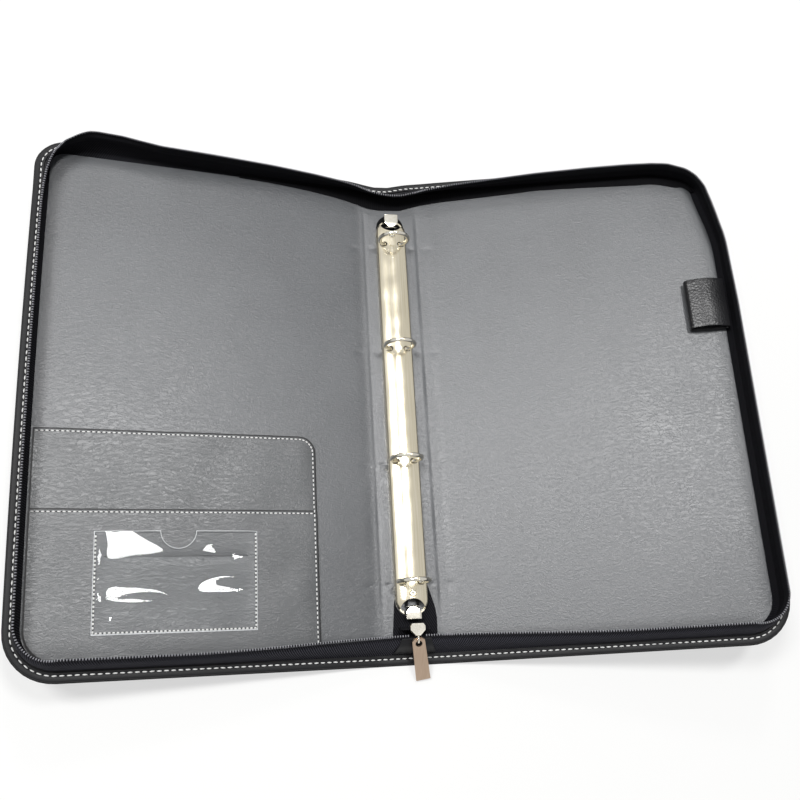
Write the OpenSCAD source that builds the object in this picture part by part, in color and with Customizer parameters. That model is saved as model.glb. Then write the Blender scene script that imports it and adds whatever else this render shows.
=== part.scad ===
// Zip-round portfolio case for A4 sheets, lying open, with a four-ring mechanism on its spine.
// X runs across the open case, Y along the spine towards its head, Z up from the floor.

/* [Case] */
// Height of the case along the spine
case_h = 345; // [335:1:380]
// Width of each cover from its crease to its outer edge
cover_w = 221; // [215:1:250]
// Width of the spine between the two creases
spine_w = 44; // [42:1:56]
// Corner radius of the covers at the head
head_corner_r = 20; // [14:1:30]
// Corner radius of the covers at the foot
foot_corner_r = 29; // [18:1:40]
// Angle of the left cover above the floor as it lies open
left_rest = 10; // [2:1:25]
// Angle of the right cover above the floor as it lies open
right_rest = 13; // [2:1:25]

/* [Layers] */
// Thickness of the outer leather
skin_t = 1.2; // [0.8:0.1:2]
// Thickness of the stiffening boards
board_t = 2; // [1.2:0.1:3]
// Thickness of the lining
lining_t = 0.8; // [0.5:0.1:1.5]
// Thickness of the turned hem
hem_t = 1; // [0.6:0.1:1.6]
// Width of the turned hem along the edges
hem_w = 5.2; // [4:0.1:5.4]
// Distance of the lining from the cover's outer edge
lining_inset = 10; // [9:0.5:16]
// Setback of the boards behind the lining's edge
board_setback = 0.6; // [0.2:0.1:2]
// Distance of boards and linings from each crease
crease_clear = 4.5; // [4.2:0.1:6]
// Distance of the hems from each crease
hem_clear = 2.5; // [2:0.1:4]
// Gap between a cover's skin and the fold line
fold_gap = 0.3; // [0.2:0.1:0.6]

/* [Zip tape] */
// Thickness of the zip tape
tape_t = 0.9; // [0.6:0.1:1.2]
// Distance of the tape's foot from the cover's outer edge
wall_inset = 6.2; // [6:0.1:8]
// Thickness of the tape's sewn flange
flange_t = 0.6; // [0.4:0.1:1]
// Height of the zip coil
coil_h = 2.2; // [1.6:0.1:3]
// Width of the zip coil
coil_w = 2.6; // [2:0.1:3.4]
// Half the gap between the two coils when the case is closed
zip_gap = 0.4; // [0.3:0.1:1]
// Distance from a crease to the start of a cover's own tape
tape_start = 24; // [24:1:40]
// Gap between a cover's tape and the tape that bridges the spine
tape_join = 0.3; // [0.2:0.1:0.6]
// Inward lean of the tape at the head of the spine
lean_head = 42; // [30:1:50]
// Inward lean of the tape at the foot of the spine
lean_foot = 32; // [26:1:36]
// Outward lean of the tape along the head of the left cover
flare_left_head = 13; // [0:1:20]
// Inward lean of the tape along the head of the right cover
lean_right_head = 5; // [0:1:15]
// Outward lean of the tape along the outer edges
flare_outer = 3; // [0:1:10]
// Inward lean of the tape along the foot of the left cover
lean_left_foot = 15; // [0:1:22]
// Inward lean of the tape along the foot of the right cover
lean_right_foot = 18; // [0:1:22]
// Length over which the tape rises from the head of the spine
head_dip = 58; // [40:1:90]
// Length over which the tape rises from the foot of the spine
foot_dip = 150; // [80:5:180]
// Thickness of the leather patch below the slider
patch_t = 0.8; // [0.5:0.1:1.2]
// Half the width of the leather patch at its foot
patch_half = 14; // [10:1:15]
// Clearance of the patch from the tape
patch_gap = 0.15; // [0.1:0.05:0.3]

/* [Pockets] */
// Thickness of the pocket leather
pocket_t = 0.9; // [0.6:0.1:1.4]
// Width of the pockets from the lining's outer edge
pocket_w = 172; // [150:1:176]
// Height of the document pocket above the lining's foot
pocket_h = 137; // [120:1:200]
// Corner radius of the document pocket
pocket_r = 11; // [4:1:20]
// Height of the front pocket above the lining's foot
front_h = 88; // [80:1:110]
// Thickness of the clear card window
window_t = 0.4; // [0.3:0.1:0.8]
// Width of the card window
window_w = 96; // [92:1:100]
// Height of the card window
window_h = 60; // [56:1:64]
// Distance of the window from the pocket's inner edge
window_side = 39.5; // [30:0.5:44]
// Distance of the window from the lining's foot
window_foot = 14.5; // [10:0.5:20]
// Radius of the thumb notch in the window
notch_r = 10.5; // [8:0.5:13]
// Width of the card slit behind the window
slit_w = 84; // [80:1:88]
// Height of the card slit
slit_h = 1; // [0.6:0.1:2]
// Drop of the card slit below the window's top edge
slit_drop = 16; // [12:1:22]

/* [Pen loop] */
// Length of the pen loop along the cover's edge
loop_len = 35.5; // [20:0.5:50]
// Position of the pen loop's middle along the spine
loop_y = 57; // [0:1:80]
// Width of the pen loop
loop_w = 28; // [22:1:32]
// Height of the pen loop above the lining
loop_h = 11; // [10:0.5:13]
// Thickness of the loop's leather
loop_t = 1.3; // [0.9:0.1:1.8]

/* [Rings] */
// Distance of the outer rings from the ends of the ring housing
ring_end = 21; // [19:0.5:26]
// Thickness of the ring wire
ring_wire = 2.8; // [2.4:0.1:3]
// Radius of the rings at the middle of the wire
ring_r = 10; // [9.8:0.1:11]
// Distance of the ring feet from the middle
foot_x = 5.5; // [5.2:0.1:5.8]
// Height at which the ring feet bend, above the lining
foot_z = 5.4; // [5:0.1:5.8]
// Gap between the tips of a closed ring
tip_gap = 0.3; // [0.2:0.1:0.6]
// Reach of the tongue that keys the two tips of a ring
tongue_l = 0.9; // [0.6:0.1:1.2]
// Thickness of the tongue
tongue_t = 0.9; // [0.6:0.1:1.1]
// Clearance of the tongue in its groove
tongue_gap = 0.25; // [0.2:0.05:0.35]
// Angle by which each blade turns as the rings open
ring_open = 18; // [10:1:18]

/* [Ring housing] */
// Distance of the ring housing from the head of the case
head_margin = 33.44; // [30:0.02:44]
// Width of the ring housing
housing_w = 21; // [20.6:0.1:23]
// Height of the housing's crown above the lining
housing_h = 7; // [6.8:0.1:8]
// Radius of the housing's crown across its width
crown_r = 20; // [16:1:22]
// Radius of the housing's shoulders
shoulder_r = 2; // [1.6:0.1:2.6]
// Thickness of the housing's sheet steel
housing_t = 1; // [0.8:0.1:1.1]
// Height of the housing's straight side lips
lip_h = 1.5; // [1.3:0.1:1.7]
// Radius of the mouth for each trigger
mouth_r = 8.6; // [8:0.1:9]
// Height of the sill of each mouth above the side lips
mouth_sill = 0.3; // [0.2:0.1:0.6]
// Reach of each mouth past the middle of the housing's round end
mouth_past = 0.2; // [0.2:0.1:0.8]
// Height of the notch's floor in each end of the housing
notch_z = 0.5; // [0.3:0.1:0.6]
// Clearance of a trigger's pad in that notch
notch_gap = 0.5; // [0.3:0.1:0.8]
// Radius of the studs pressed into the crown
stud_r = 2; // [1.5:0.1:2.4]
// Height of the studs
stud_h = 0.6; // [0.3:0.1:0.9]
// Clearance round a ring foot in its slot
slot_gap = 0.5; // [0.3:0.1:0.7]
// Thickness of the blades
blade_t = 1.2; // [0.8:0.1:1.3]
// Distance of the blades' turning line from the housing's inner wall
pivot_in = 1.25; // [1.1:0.05:1.3]
// Height of the blades' turning line above the lining
pivot_z = 1.5; // [1.4:0.1:1.7]
// Reach of a blade beyond its turning line
blade_lip = 0.2; // [0.1:0.1:0.3]
// Distance of the blades' ends beyond the outer rings
blade_past = 4.5; // [3:0.1:4.5]
// Radius of the rivet heads
rivet_head_r = 2.3; // [2:0.1:2.6]
// Radius of the rivet shanks
rivet_r = 1.4; // [1:0.1:1.6]
// Height of the rivet heads
rivet_head_h = 0.9; // [0.6:0.1:1.2]
// Clearance round the rivet shanks
rivet_gap = 0.1; // [0.05:0.05:0.2]
// Distance of the rivets beyond the outer rings
rivet_past = 7.2; // [7:0.1:7.5]

/* [Triggers] */
// Width of a trigger's thumb pad
pad_w = 9.6; // [8:0.1:10]
// Thickness of a trigger's thumb pad
pad_t = 1.3; // [1.1:0.1:1.4]
// Radius of a trigger's pins
pin_r = 0.8; // [0.6:0.1:0.9]
// Clearance round a trigger's pins
pin_gap = 0.15; // [0.1:0.05:0.2]
// Height of the pins above the lining
pin_z = 2; // [1.9:0.1:2.1]
// Distance of a trigger's pad from the edge of its mouth
pad_in = 4; // [3.4:0.1:4.2]
// Length of the low inner end of a trigger's pad
pad_flat = 1.8; // [1.4:0.1:2.2]
// Length of a trigger's pad up to the top of its step
pad_step = 4.4; // [3.8:0.1:5]
// Reach of a trigger's thumb pad beyond the ring housing
pad_over = 2; // [1.4:0.1:2.1]
// Drop of a trigger's thumb pad below the housing's crown
pad_drop = 0; // [-0.6:0.1:0.1]
// Clearance between the foot trigger and the zip slider
trigger_gap = 3.4; // [2:0.1:4]
// Distance of the pins beyond the outer rings
pin_past = 8; // [7.8:0.1:8.2]
// Inner face of a trigger's arms from the middle
arm_x = 2.9; // [2.8:0.1:3]
// Thickness of a trigger's arms
arm_t = 1.3; // [1:0.1:1.4]

/* [Slider] */
// Width of the zip slider
slider_w = 9.3; // [8:0.1:10]
// Length of the zip slider
slider_l = 7.4; // [7:0.1:8]
// Height of the zip slider
slider_h = 4; // [3.6:0.1:4.4]
// Thickness of the slider's plates
slider_plate = 1; // [0.8:0.1:1.2]
// Clearance between the slider and the tape below it
slider_gap = 0.4; // [0.3:0.1:0.6]
// Width of the tape end on the lining behind the slider
tail_w = 29; // [22:0.5:31]
// Width of the part of that tape end that climbs to the slider
tail_climb = 18; // [10:1:20]
// Length of that tape end beside the ring housing
tail_l = 16; // [4:1:24]
// Distance of that tape end from the ring housing
tail_gap = 0.4; // [0.3:0.1:0.8]
// Width of the tape end that lies on the lining at the head
gusset_w = 32; // [24:1:34]
// Length of the tape end at the head
gusset_l = 12; // [6:0.5:18]
// Radius of the bridge at the middle of its wire
bridge_r = 2; // [1.9:0.1:2.2]
// Thickness of the bridge's wire
bridge_wire = 1.2; // [1:0.1:1.3]
// Distance of the bridge's middle beyond the slider's nose
bridge_out = 0.2; // [0:0.1:0.6]
// Drop of the bridge's middle below the slider's top
bridge_drop = 1.7; // [1.5:0.1:2]
// Length of the pull tab
pull_l = 30.5; // [24:0.5:30.5]
// Width of the pull tab at its end
pull_w = 9.2; // [8:0.1:10]
// Width of the pull tab at its eye
pull_eye_w = 8; // [7:0.1:9]
// Thickness of the pull tab
pull_t = 1.4; // [1:0.1:1.5]
// Width of the bar that closes the pull tab's eye
eye_bar = 1.4; // [1.2:0.1:1.6]
// Radius of the eye in the pull tab
eye_r = 2.2; // [2:0.1:2.4]
// Angle at which the pull tab hangs below level
pull_rest = 38; // [30:1:38]
// Angle by which the pull tab hangs askew on its bridge
pull_twist = 10; // [0:1:12]

/* [Hidden] */
$fn = 64;

// Half widths, layer heights and the crease line
half_h = case_h / 2;
half_s = spine_w / 2;
axis_z = skin_t / 2;
board_z = skin_t;
lining_z = board_z + board_t;
top_z = lining_z + lining_t;
lining_y = half_h - lining_inset;
lining_u = cover_w - lining_inset;

// The two coils meet halfway between the closed covers, which sets the height of the tape
coil_top = axis_z + half_s - zip_gap;
slant = coil_top - skin_t - coil_h;
wall_y = half_h - wall_inset;
wall_u = cover_w - wall_inset;
head_r = head_corner_r - wall_inset;
foot_r = foot_corner_r - wall_inset;

// Section of the ring housing: a low crown that runs into two rounded shoulders
crown_z = housing_h - crown_r;
shoulder_x = housing_w / 2 - shoulder_r;
shoulder_z = crown_z + sqrt(pow(crown_r - shoulder_r, 2) - shoulder_x * shoulder_x);
pivot_x = housing_w / 2 - housing_t - pivot_in;

// Places of the slider and its pull
coil_base_y = -wall_y + slant * sin(lean_foot);
coil_base_z = skin_t + slant * cos(lean_foot);
slider_z = coil_base_z + tape_t / 2 * sin(lean_foot) + slider_gap;
nose_y = coil_base_y + zip_gap;
back_y = nose_y + slider_l;
pull_y = nose_y - bridge_r - bridge_out;
pull_z = slider_z + slider_h - bridge_drop;

// The ring housing fills the spine from its margin at the head to the slider
pad_edge = 0.2;
housing_head = half_h - head_margin;
housing_foot = back_y + trigger_gap + pad_over + pad_edge;
housing_len = housing_head - housing_foot;
mech_y = (housing_head + housing_foot) / 2;
end_y = housing_len / 2 - housing_w / 2;
mouth_y = end_y + mouth_r - mouth_past;

// Places along the ring mechanism: four rings at one pitch, 80 mm apart on an A4 case
ring_pitch = (housing_len - 2 * ring_end) / 3;
outer_ring_y = 1.5 * ring_pitch;
ring_ys = [for (i = [0:3]) (1.5 - i) * ring_pitch];
blade_y = outer_ring_y + blade_past;
rivet_y = outer_ring_y + rivet_past;
pin_y = outer_ring_y + pin_past;
ring_z = foot_z + sqrt(ring_r * ring_r - foot_x * foot_x);
foot_angle = asin((ring_z - foot_z) / ring_r);
tip_angle = asin(tip_gap / 2 / ring_r);
wire_r = ring_wire / 2;
// Outward shift of a ring foot as its blade turns
foot_shift = (foot_z - pivot_z) * sin(ring_open) + (pivot_x - foot_x) * (1 - cos(ring_open));
slot_in = foot_x - wire_r - slot_gap;
slot_out = foot_x + wire_r + foot_shift + slot_gap;

function lerp(a, b, t) = a + (b - a) * t;
function ease(t) = let (c = max(0, min(1, t))) c * c * (3 - 2 * c);

// Lean of the tape at a distance s from the middle of the spine, inward being positive
function head_lean(side, s) = lerp(lean_head, side < 0 ? -flare_left_head : lean_right_head, ease(s / head_dip));
function foot_lean(side, s) = lerp(lean_foot, side < 0 ? lean_left_foot : lean_right_foot, ease(s / foot_dip));
function rest_of(side) = side < 0 ? left_rest : right_rest;

// Stations round a cover: place, outward direction and lean
function along_head(side) = let (a = tape_start, b = wall_u - head_r, n = 16)
    [for (i = [0:n]) let (t = i / n, u = lerp(a, b, t * t * 0.6 + t * 0.4))
        [u, wall_y, 0, 1, head_lean(side, half_s + u)]];
function round_head(side) = let (n = 8, l = head_lean(side, half_s + wall_u - head_r))
    [for (i = [1:n]) let (a = 90 - 90 * i / n)
        [wall_u - head_r + head_r * cos(a), wall_y - head_r + head_r * sin(a), cos(a), sin(a),
            lerp(l, -flare_outer, i / n)]];
function along_outer() = let (n = 6)
    [for (i = [1:n]) [wall_u, lerp(wall_y - head_r, foot_r - wall_y, i / n), 1, 0, -flare_outer]];
function round_foot(side) = let (n = 8, l = foot_lean(side, half_s + wall_u - foot_r))
    [for (i = [1:n]) let (a = -90 * i / n)
        [wall_u - foot_r + foot_r * cos(a), foot_r - wall_y + foot_r * sin(a), cos(a), sin(a),
            lerp(-flare_outer, l, i / n)]];
function along_foot(side) = let (a = wall_u - foot_r, b = tape_start, n = 14)
    [for (i = [1:n]) let (u = lerp(a, b, i / n)) [u, -wall_y, 0, -1, foot_lean(side, half_s + u)]];
function round_cover(side) =
    concat(along_head(side), round_head(side), along_outer(), round_foot(side), along_foot(side));

// Point of a wall in its cover's own frame: a lies across the tape, b up along it
function wall_point(st, a, b) = let (l = st[4])
    [st[0] + st[2] * (a * (b > 0 ? cos(l) : 1) - b * sin(l)),
     st[1] + st[3] * (a * (b > 0 ? cos(l) : 1) - b * sin(l)),
     skin_t + b * cos(l) + (b > 0 ? a * sin(l) : 0)];

// Stations of the tape that bridges the spine, from s0 to s1 across it
function bridge_stations(end, s0, s1, n) =
    [for (i = [0:n]) let (s = lerp(s0, s1, i / n), side = s < 0 ? -1 : 1)
        [s, end, end > 0 ? head_lean(side, abs(s)) : foot_lean(side, abs(s)),
            rest_of(side) * ease((abs(s) - half_s + 5) / 10), side]];
// Point of that tape: its foot follows the spine and, past a crease, the cover
function bridge_point(st, a, b) =
    let (side = st[4], over = max(0, abs(st[0]) - half_s), flat = min(abs(st[0]), half_s), r = rest_of(side),
         l = st[2], up = b * cos(l) + (b > 0 ? a * sin(l) : 0),
         out = a * (b > 0 ? cos(l) : 1) - b * sin(l), lift = skin_t - axis_z,
         fx = flat + over * cos(r) - (over > 0 ? lift * sin(r) : 0),
         fz = axis_z + over * sin(r) + (over > 0 ? lift * cos(r) : lift))
    [side * (fx - up * sin(st[3])), st[1] * (wall_y + out), fz + up * cos(st[3])];

// Outlines swept along a wall, as pairs of a and b
tape_profile = [[-tape_t / 2, 0], [tape_t / 2, 0], [tape_t / 2, slant], [-tape_t / 2, slant]];
coil_profile = [
    [-tape_t / 2, slant], [tape_t / 2, slant],
    [coil_w / 2, slant + coil_h * 0.25], [coil_w / 2, slant + coil_h * 0.75],
    [coil_w * 0.22, slant + coil_h], [-coil_w * 0.22, slant + coil_h],
    [-coil_w / 2, slant + coil_h * 0.75], [-coil_w / 2, slant + coil_h * 0.25]
];
patch_profile = [
    [tape_t / 2 + patch_gap, 2], [tape_t / 2 + patch_gap + patch_t, 2],
    [tape_t / 2 + patch_gap + patch_t, slant - 2], [tape_t / 2 + patch_gap, slant - 2]
];

// Faces of a strip of m outline points at each of n stations
function strip_faces(n, m, other) = concat(
    [[for (j = [0:m - 1]) j]],
    [for (i = [0:n - 2]) for (j = [0:m - 1]) let (k = (j + 1) % m, p = i * m, q = p + m)
        other ? [p + j, q + j, p + k] : [p + j, q + j, q + k]],
    [for (i = [0:n - 2]) for (j = [0:m - 1]) let (k = (j + 1) % m, p = i * m, q = p + m)
        other ? [p + k, q + j, q + k] : [p + j, q + k, p + k]],
    [[for (j = [m - 1:-1:0]) (n - 1) * m + j]]
);

// A strip swept round a cover, in the cover's own frame
module cover_strip(side, profile, other) {
    st = round_cover(side);
    pts = [for (s = st) for (p = profile) wall_point(s, p[0], p[1])];
    polyhedron(points = pts, faces = strip_faces(len(st), len(profile), other));
}

// A strip swept across the spine
module spine_strip(end, s0, s1, n, profile, other) {
    st = bridge_stations(end, s0, s1, n);
    pts = [for (s = st) for (p = profile) bridge_point(s, p[0], p[1])];
    m = len(profile);
    faces = strip_faces(len(st), m, other);
    polyhedron(points = pts, faces = end < 0 ? [for (f = faces) [for (i = [len(f) - 1:-1:0]) f[i]]] : faces);
}

// Places what is drawn flat to the right of a crease on a cover at its rest angle
module on_cover(side) {
    translate([side * half_s, 0, axis_z])
        rotate([0, -side * rest_of(side), 0])
            translate([0, 0, -axis_z])
                if (side < 0) mirror([1, 0, 0]) children();
                else children();
}

// Outline of a cover, drawn in from its edge and starting at a distance from the crease
module cover_outline(inset, start) {
    w = cover_w - inset;
    h = half_h - inset;
    rh = head_corner_r - inset;
    rf = foot_corner_r - inset;
    difference() {
        translate([start, -h]) square([w - start, 2 * h]);
        translate([w - rh, h - rh]) difference() {
            square(rh + 1);
            circle(rh);
        }
        translate([w - rf, rf - h]) mirror([0, 1]) difference() {
            square(rf + 1);
            circle(rf);
        }
    }
}

// A flat layer of a cover
module cover_layer(inset, start, z, t) {
    translate([0, 0, z]) linear_extrude(t) cover_outline(inset, start);
}

module cover_skin() {
    cover_layer(0, skin_t / 2 + fold_gap, 0, skin_t);
}

module cover_board() {
    cover_layer(lining_inset + board_setback, crease_clear, board_z, board_t);
}

module cover_lining() {
    cover_layer(lining_inset, crease_clear, lining_z, lining_t);
}

module cover_hem() {
    translate([0, 0, skin_t]) linear_extrude(hem_t) difference() {
        cover_outline(0, hem_clear);
        cover_outline(hem_w, hem_clear - 1);
    }
}

// Tape wall with the flange that is sewn down inside it
module cover_tape(side) {
    cover_strip(side, tape_profile, false);
    translate([0, 0, skin_t]) linear_extrude(flange_t) difference() {
        cover_outline(wall_inset, tape_start);
        cover_outline(lining_inset + board_setback / 2, tape_start - 1);
    }
}

module cover_coil(side) {
    cover_strip(side, coil_profile, true);
}

// Spine

module spine_skin() {
    color("#2b2b2d") {
        translate([-half_s, -half_h, 0]) cube([spine_w, case_h, skin_t]);
        for (side = [-1, 1])
            translate([side * half_s, half_h, axis_z]) rotate([90, 0, 0]) cylinder(r = axis_z, h = case_h);
    }
}

module rivet_holes(z0, z1) {
    for (e = [-1, 1])
        translate([0, mech_y + e * rivet_y, z0]) cylinder(r = rivet_r + rivet_gap, h = z1 - z0);
}

module spine_board() {
    color("#8a6f4d") difference() {
        translate([crease_clear - half_s, board_setback - lining_y, board_z])
            cube([spine_w - 2 * crease_clear, 2 * (lining_y - board_setback), board_t]);
        rivet_holes(board_z - 1, lining_z + 1);
    }
}

module spine_lining() {
    color("#77787b") difference() {
        translate([crease_clear - half_s, -lining_y, lining_z])
            cube([spine_w - 2 * crease_clear, 2 * lining_y, lining_t]);
        rivet_holes(lining_z - 1, top_z + 1);
    }
}

module spine_hems() {
    color("#2b2b2d")
        for (y = [-half_h, half_h - hem_w])
            translate([hem_clear - half_s, y, skin_t]) cube([spine_w - 2 * hem_clear, hem_w, hem_t]);
}

// Ring mechanism, drawn on the spine's lining

module on_lining() {
    translate([0, mech_y, top_z]) children();
}

// Half of the housing's section, drawn in from its outer face and down below the lining
module half_arch(in, low) {
    r = shoulder_r - in;
    tilt = atan2(shoulder_x, shoulder_z - crown_z);
    polygon(concat(
        [[0, -low], [housing_w / 2 - in, -low]],
        [for (i = [0:6]) let (a = (90 - tilt) * i / 6) [shoulder_x + r * cos(a), shoulder_z + r * sin(a)]],
        [for (i = [1:10]) let (a = 90 - tilt + tilt * i / 10)
            [(crown_r - in) * cos(a), crown_z + (crown_r - in) * sin(a)]]
    ));
}

// The section drawn out along the spine and turned round at both ends
module arch_solid(in, low) {
    rotate([90, 0, 0]) translate([0, 0, -end_y]) linear_extrude(2 * end_y) {
        half_arch(in, low);
        mirror([1, 0]) half_arch(in, low);
    }
    for (e = [0, 1]) rotate([0, 0, 180 * e]) translate([0, end_y, 0])
        rotate_extrude(angle = 180, $fn = 96) half_arch(in, low);
}

// Slot that lets one ring foot swing outward
module foot_slot() {
    h = housing_h;
    r = wire_r + slot_gap;
    z = lip_h + mouth_sill;
    translate([slot_in + r, 0, z]) cylinder(r = r, h = h);
    translate([slot_out - r, 0, z]) cylinder(r = r, h = h);
    translate([slot_in + r, -r, z]) cube([slot_out - slot_in - 2 * r, 2 * r, h]);
}

module ring_housing() {
    seat = housing_h - 0.3;
    color("#d9cfb4") on_lining() {
        difference() {
            arch_solid(0, 0);
            arch_solid(housing_t, 1);
            for (e = [-1, 1]) {
                translate([0, e * mouth_y, lip_h + mouth_sill]) cylinder(r = mouth_r, h = housing_h);
                translate([-pad_w / 2 - notch_gap, e * housing_len / 2 - 4, notch_z])
                    cube([pad_w + 2 * notch_gap, 8, housing_h]);
                translate([0, e * rivet_y, lip_h]) cylinder(r = rivet_r + rivet_gap, h = housing_h);
                translate([0, e * rivet_y, seat]) cylinder(r = rivet_head_r, h = housing_h);
                translate([-housing_w, e * pin_y, pin_z])
                    rotate([0, 90, 0]) cylinder(r = pin_r + pin_gap, h = 2 * housing_w);
            }
            for (y = ring_ys) translate([0, y, 0]) {
                foot_slot();
                mirror([1, 0, 0]) foot_slot();
            }
        }
        for (y = ring_ys) translate([0, y, housing_h - housing_t / 2])
            cylinder(r = stud_r, h = housing_t / 2 + stud_h);
    }
}

module housing_rivets() {
    seat = housing_h - 0.3;
    color("#e8e4d8") on_lining()
        for (e = [-1, 1]) translate([0, e * rivet_y, 0]) difference() {
            union() {
                translate([0, 0, board_z - top_z]) cylinder(r = rivet_r, h = seat - board_z + top_z);
                translate([0, 0, seat]) cylinder(r1 = rivet_head_r, r2 = rivet_head_r - 0.5, h = rivet_head_h);
            }
            translate([0, 0, seat - 1.5]) cylinder(r = rivet_r * 0.6, h = rivet_head_h + 2);
        }
}

// One blade, drawn for the right-hand side
module blade() {
    translate([tip_gap / 2, -blade_y, pivot_z - blade_t / 2])
        cube([pivot_x + blade_lip - tip_gap / 2, 2 * blade_y, blade_t]);
}

// Wire of a ring from its foot to its tip, drawn for the right-hand side
module ring_arc(tip) {
    translate([0, 0, ring_z]) rotate([90, 0, 0]) rotate([0, 0, -foot_angle])
        rotate_extrude(angle = 90 + foot_angle - tip, $fn = 96) translate([ring_r, 0]) circle(wire_r);
}

// Upright slice across a ring's tip, from x0 to x1
module tip_slice(x0, x1, t) {
    translate([x0, -t / 2, ring_z + ring_r - 2 * wire_r]) cube([x1 - x0, t, 4 * wire_r]);
}

// Four half rings, drawn for the right-hand side, each with a tongue or a groove at its tip
module half_rings(tongue) {
    reach = tongue_l + tip_gap / 2;
    for (y = ring_ys) translate([0, y, 0]) {
        difference() {
            ring_arc(tip_angle);
            if (!tongue) tip_slice(-reach, reach + tongue_gap, tongue_t + 2 * tongue_gap);
        }
        if (tongue) intersection() {
            mirror([1, 0, 0]) ring_arc(-tip_angle);
            tip_slice(-tongue_l, tip_gap / 2, tongue_t);
        }
        translate([foot_x, 0, foot_z]) sphere(wire_r);
        translate([foot_x, 0, pivot_z + blade_t / 2]) cylinder(r = wire_r, h = foot_z - pivot_z - blade_t / 2);
    }
}

module left_blade() {
    color("#9a9484") on_lining() mirror([1, 0, 0]) blade();
}

module right_blade() {
    color("#9a9484") on_lining() blade();
}

module left_rings() {
    color("#dcd8cc") on_lining() mirror([1, 0, 0]) half_rings(true);
}

module right_rings() {
    color("#dcd8cc") on_lining() half_rings(false);
}

// A trigger, drawn for the head: two arms under the blades, two pins and a raised thumb pad
module trigger() {
    rise = housing_h - pad_drop;
    neck = mouth_y - mouth_r + pad_in;
    tip = housing_len / 2 + pad_over;
    for (m = [0, 1]) mirror([m, 0, 0]) {
        translate([arm_x, 0, 0]) rotate([90, 0, 90]) linear_extrude(arm_t) polygon([
            [blade_y - 0.6, 0.1], [blade_y - 0.6, 0.6], [blade_y + 0.6, 0.7], [pin_y - 1, pin_z + 0.9],
            [pin_y + 1, pin_z + 1.2], [neck + 1, pin_z + 2], [neck + 1.4, pin_z + 0.6], [pin_y + 1, 0.8],
            [pin_y - 1, 0.1]
        ]);
        translate([arm_x + arm_t / 2, pin_y, pin_z]) rotate([0, 90, 0])
            cylinder(r = pin_r, h = housing_w / 2 - 0.7 - arm_x - arm_t / 2);
    }
    intersection() {
        translate([-pad_w / 2, 0, 0]) rotate([90, 0, 90]) linear_extrude(pad_w) polygon([
            [neck, pin_z + 1.6], [neck + pad_flat, pin_z + 2.2], [neck + pad_step, rise], [tip, rise],
            [tip + pad_edge, rise - pad_t], [neck + pad_step + 0.8, rise - pad_t],
            [neck + pad_flat + 0.6, pin_z + 1.3], [neck, pin_z + 1.6 - pad_t]
        ]);
        linear_extrude(2 * housing_h) {
            translate([0, neck + pad_w / 2]) circle(pad_w / 2);
            translate([-pad_w / 2, neck + pad_w / 2]) square([pad_w, housing_len]);
        }
    }
}

module head_trigger() {
    color("#efece2") on_lining() trigger();
}

module foot_trigger() {
    color("#efece2") on_lining() mirror([0, 1, 0]) trigger();
}

// Zip tape across the spine

bridge_s = half_s + tape_start - tape_join;
coil_s = slider_w / 2 + slider_gap;

module head_tape() {
    color("#15151a") spine_strip(1, -bridge_s, bridge_s, 36, tape_profile, false);
}

module head_coil() {
    color("#3a3a40") spine_strip(1, -bridge_s, bridge_s, 36, coil_profile, true);
}

module foot_tape() {
    color("#15151a") spine_strip(-1, -bridge_s, bridge_s, 36, tape_profile, false);
}

module foot_coil() {
    color("#3a3a40") {
        spine_strip(-1, -bridge_s, -coil_s, 16, coil_profile, true);
        spine_strip(-1, coil_s, bridge_s, 16, coil_profile, true);
    }
}

module foot_patch() {
    color("#303033") spine_strip(-1, -patch_half, patch_half, 12, patch_profile, false);
}

// Tape end that lies on the lining round the foot of the ring housing and climbs to the slider
module tape_tail() {
    r = housing_w / 2 + tail_gap;
    wide = tail_w / 2;
    lift_z = slider_z - slider_gap;
    color("#15151a") {
        translate([0, 0, top_z]) linear_extrude(flange_t) difference() {
            polygon([
                [-wide * 0.8, housing_foot + tail_l * 0.4], [-wide * 0.93, back_y - 3],
                [wide * 1.07, back_y - 3], [wide * 0.8, housing_foot + tail_l]
            ]);
            translate([0, mech_y - end_y]) circle(r);
            translate([-r, mech_y - end_y]) square([2 * r, housing_w]);
        }
        translate([-tail_climb / 2, 0, 0]) rotate([90, 0, 90]) linear_extrude(tail_climb) polygon([
            [back_y + 0.2, top_z], [back_y + 0.2, top_z + tape_t], [back_y - 0.6, top_z + tape_t + 0.5],
            [back_y - 2.2, lift_z], [back_y - 3.4, lift_z], [back_y - 1.8, top_z]
        ]);
    }
}

// Tape end that lies on the lining at the head
module head_gusset() {
    w = gusset_w / 2;
    color("#15151a") translate([0, lining_y - 1, top_z]) linear_extrude(flange_t) polygon([
        [-w, 0], [-w, -gusset_l * 0.5], [-w * 0.5, -gusset_l * 0.9], [0, -gusset_l], [w * 0.5, -gusset_l * 0.9],
        [w, -gusset_l * 0.5], [w, 0]
    ]);
}

// Left cover

module left_skin() {
    color("#2b2b2d") on_cover(-1) cover_skin();
}

module left_board() {
    color("#8a6f4d") on_cover(-1) cover_board();
}

module left_lining() {
    color("#77787b") on_cover(-1) cover_lining();
}

module left_hem() {
    color("#2b2b2d") on_cover(-1) cover_hem();
}

module left_tape() {
    color("#15151a") on_cover(-1) cover_tape(-1);
}

module left_coil() {
    color("#3a3a40") on_cover(-1) cover_coil(-1);
}

// Outline of a pocket that is sewn in along the lining's outer edge and foot
module pocket_outline(h, r) {
    intersection() {
        cover_outline(lining_inset, 0);
        translate([lining_u - pocket_w, -lining_y]) {
            square([pocket_w, h - r]);
            translate([r, 0]) square([pocket_w - r, h]);
            translate([r, h - r]) circle(r);
        }
    }
}

module document_pocket() {
    color("#6c6d70") on_cover(-1)
        translate([0, 0, top_z]) linear_extrude(pocket_t) pocket_outline(pocket_h, pocket_r);
}

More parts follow.
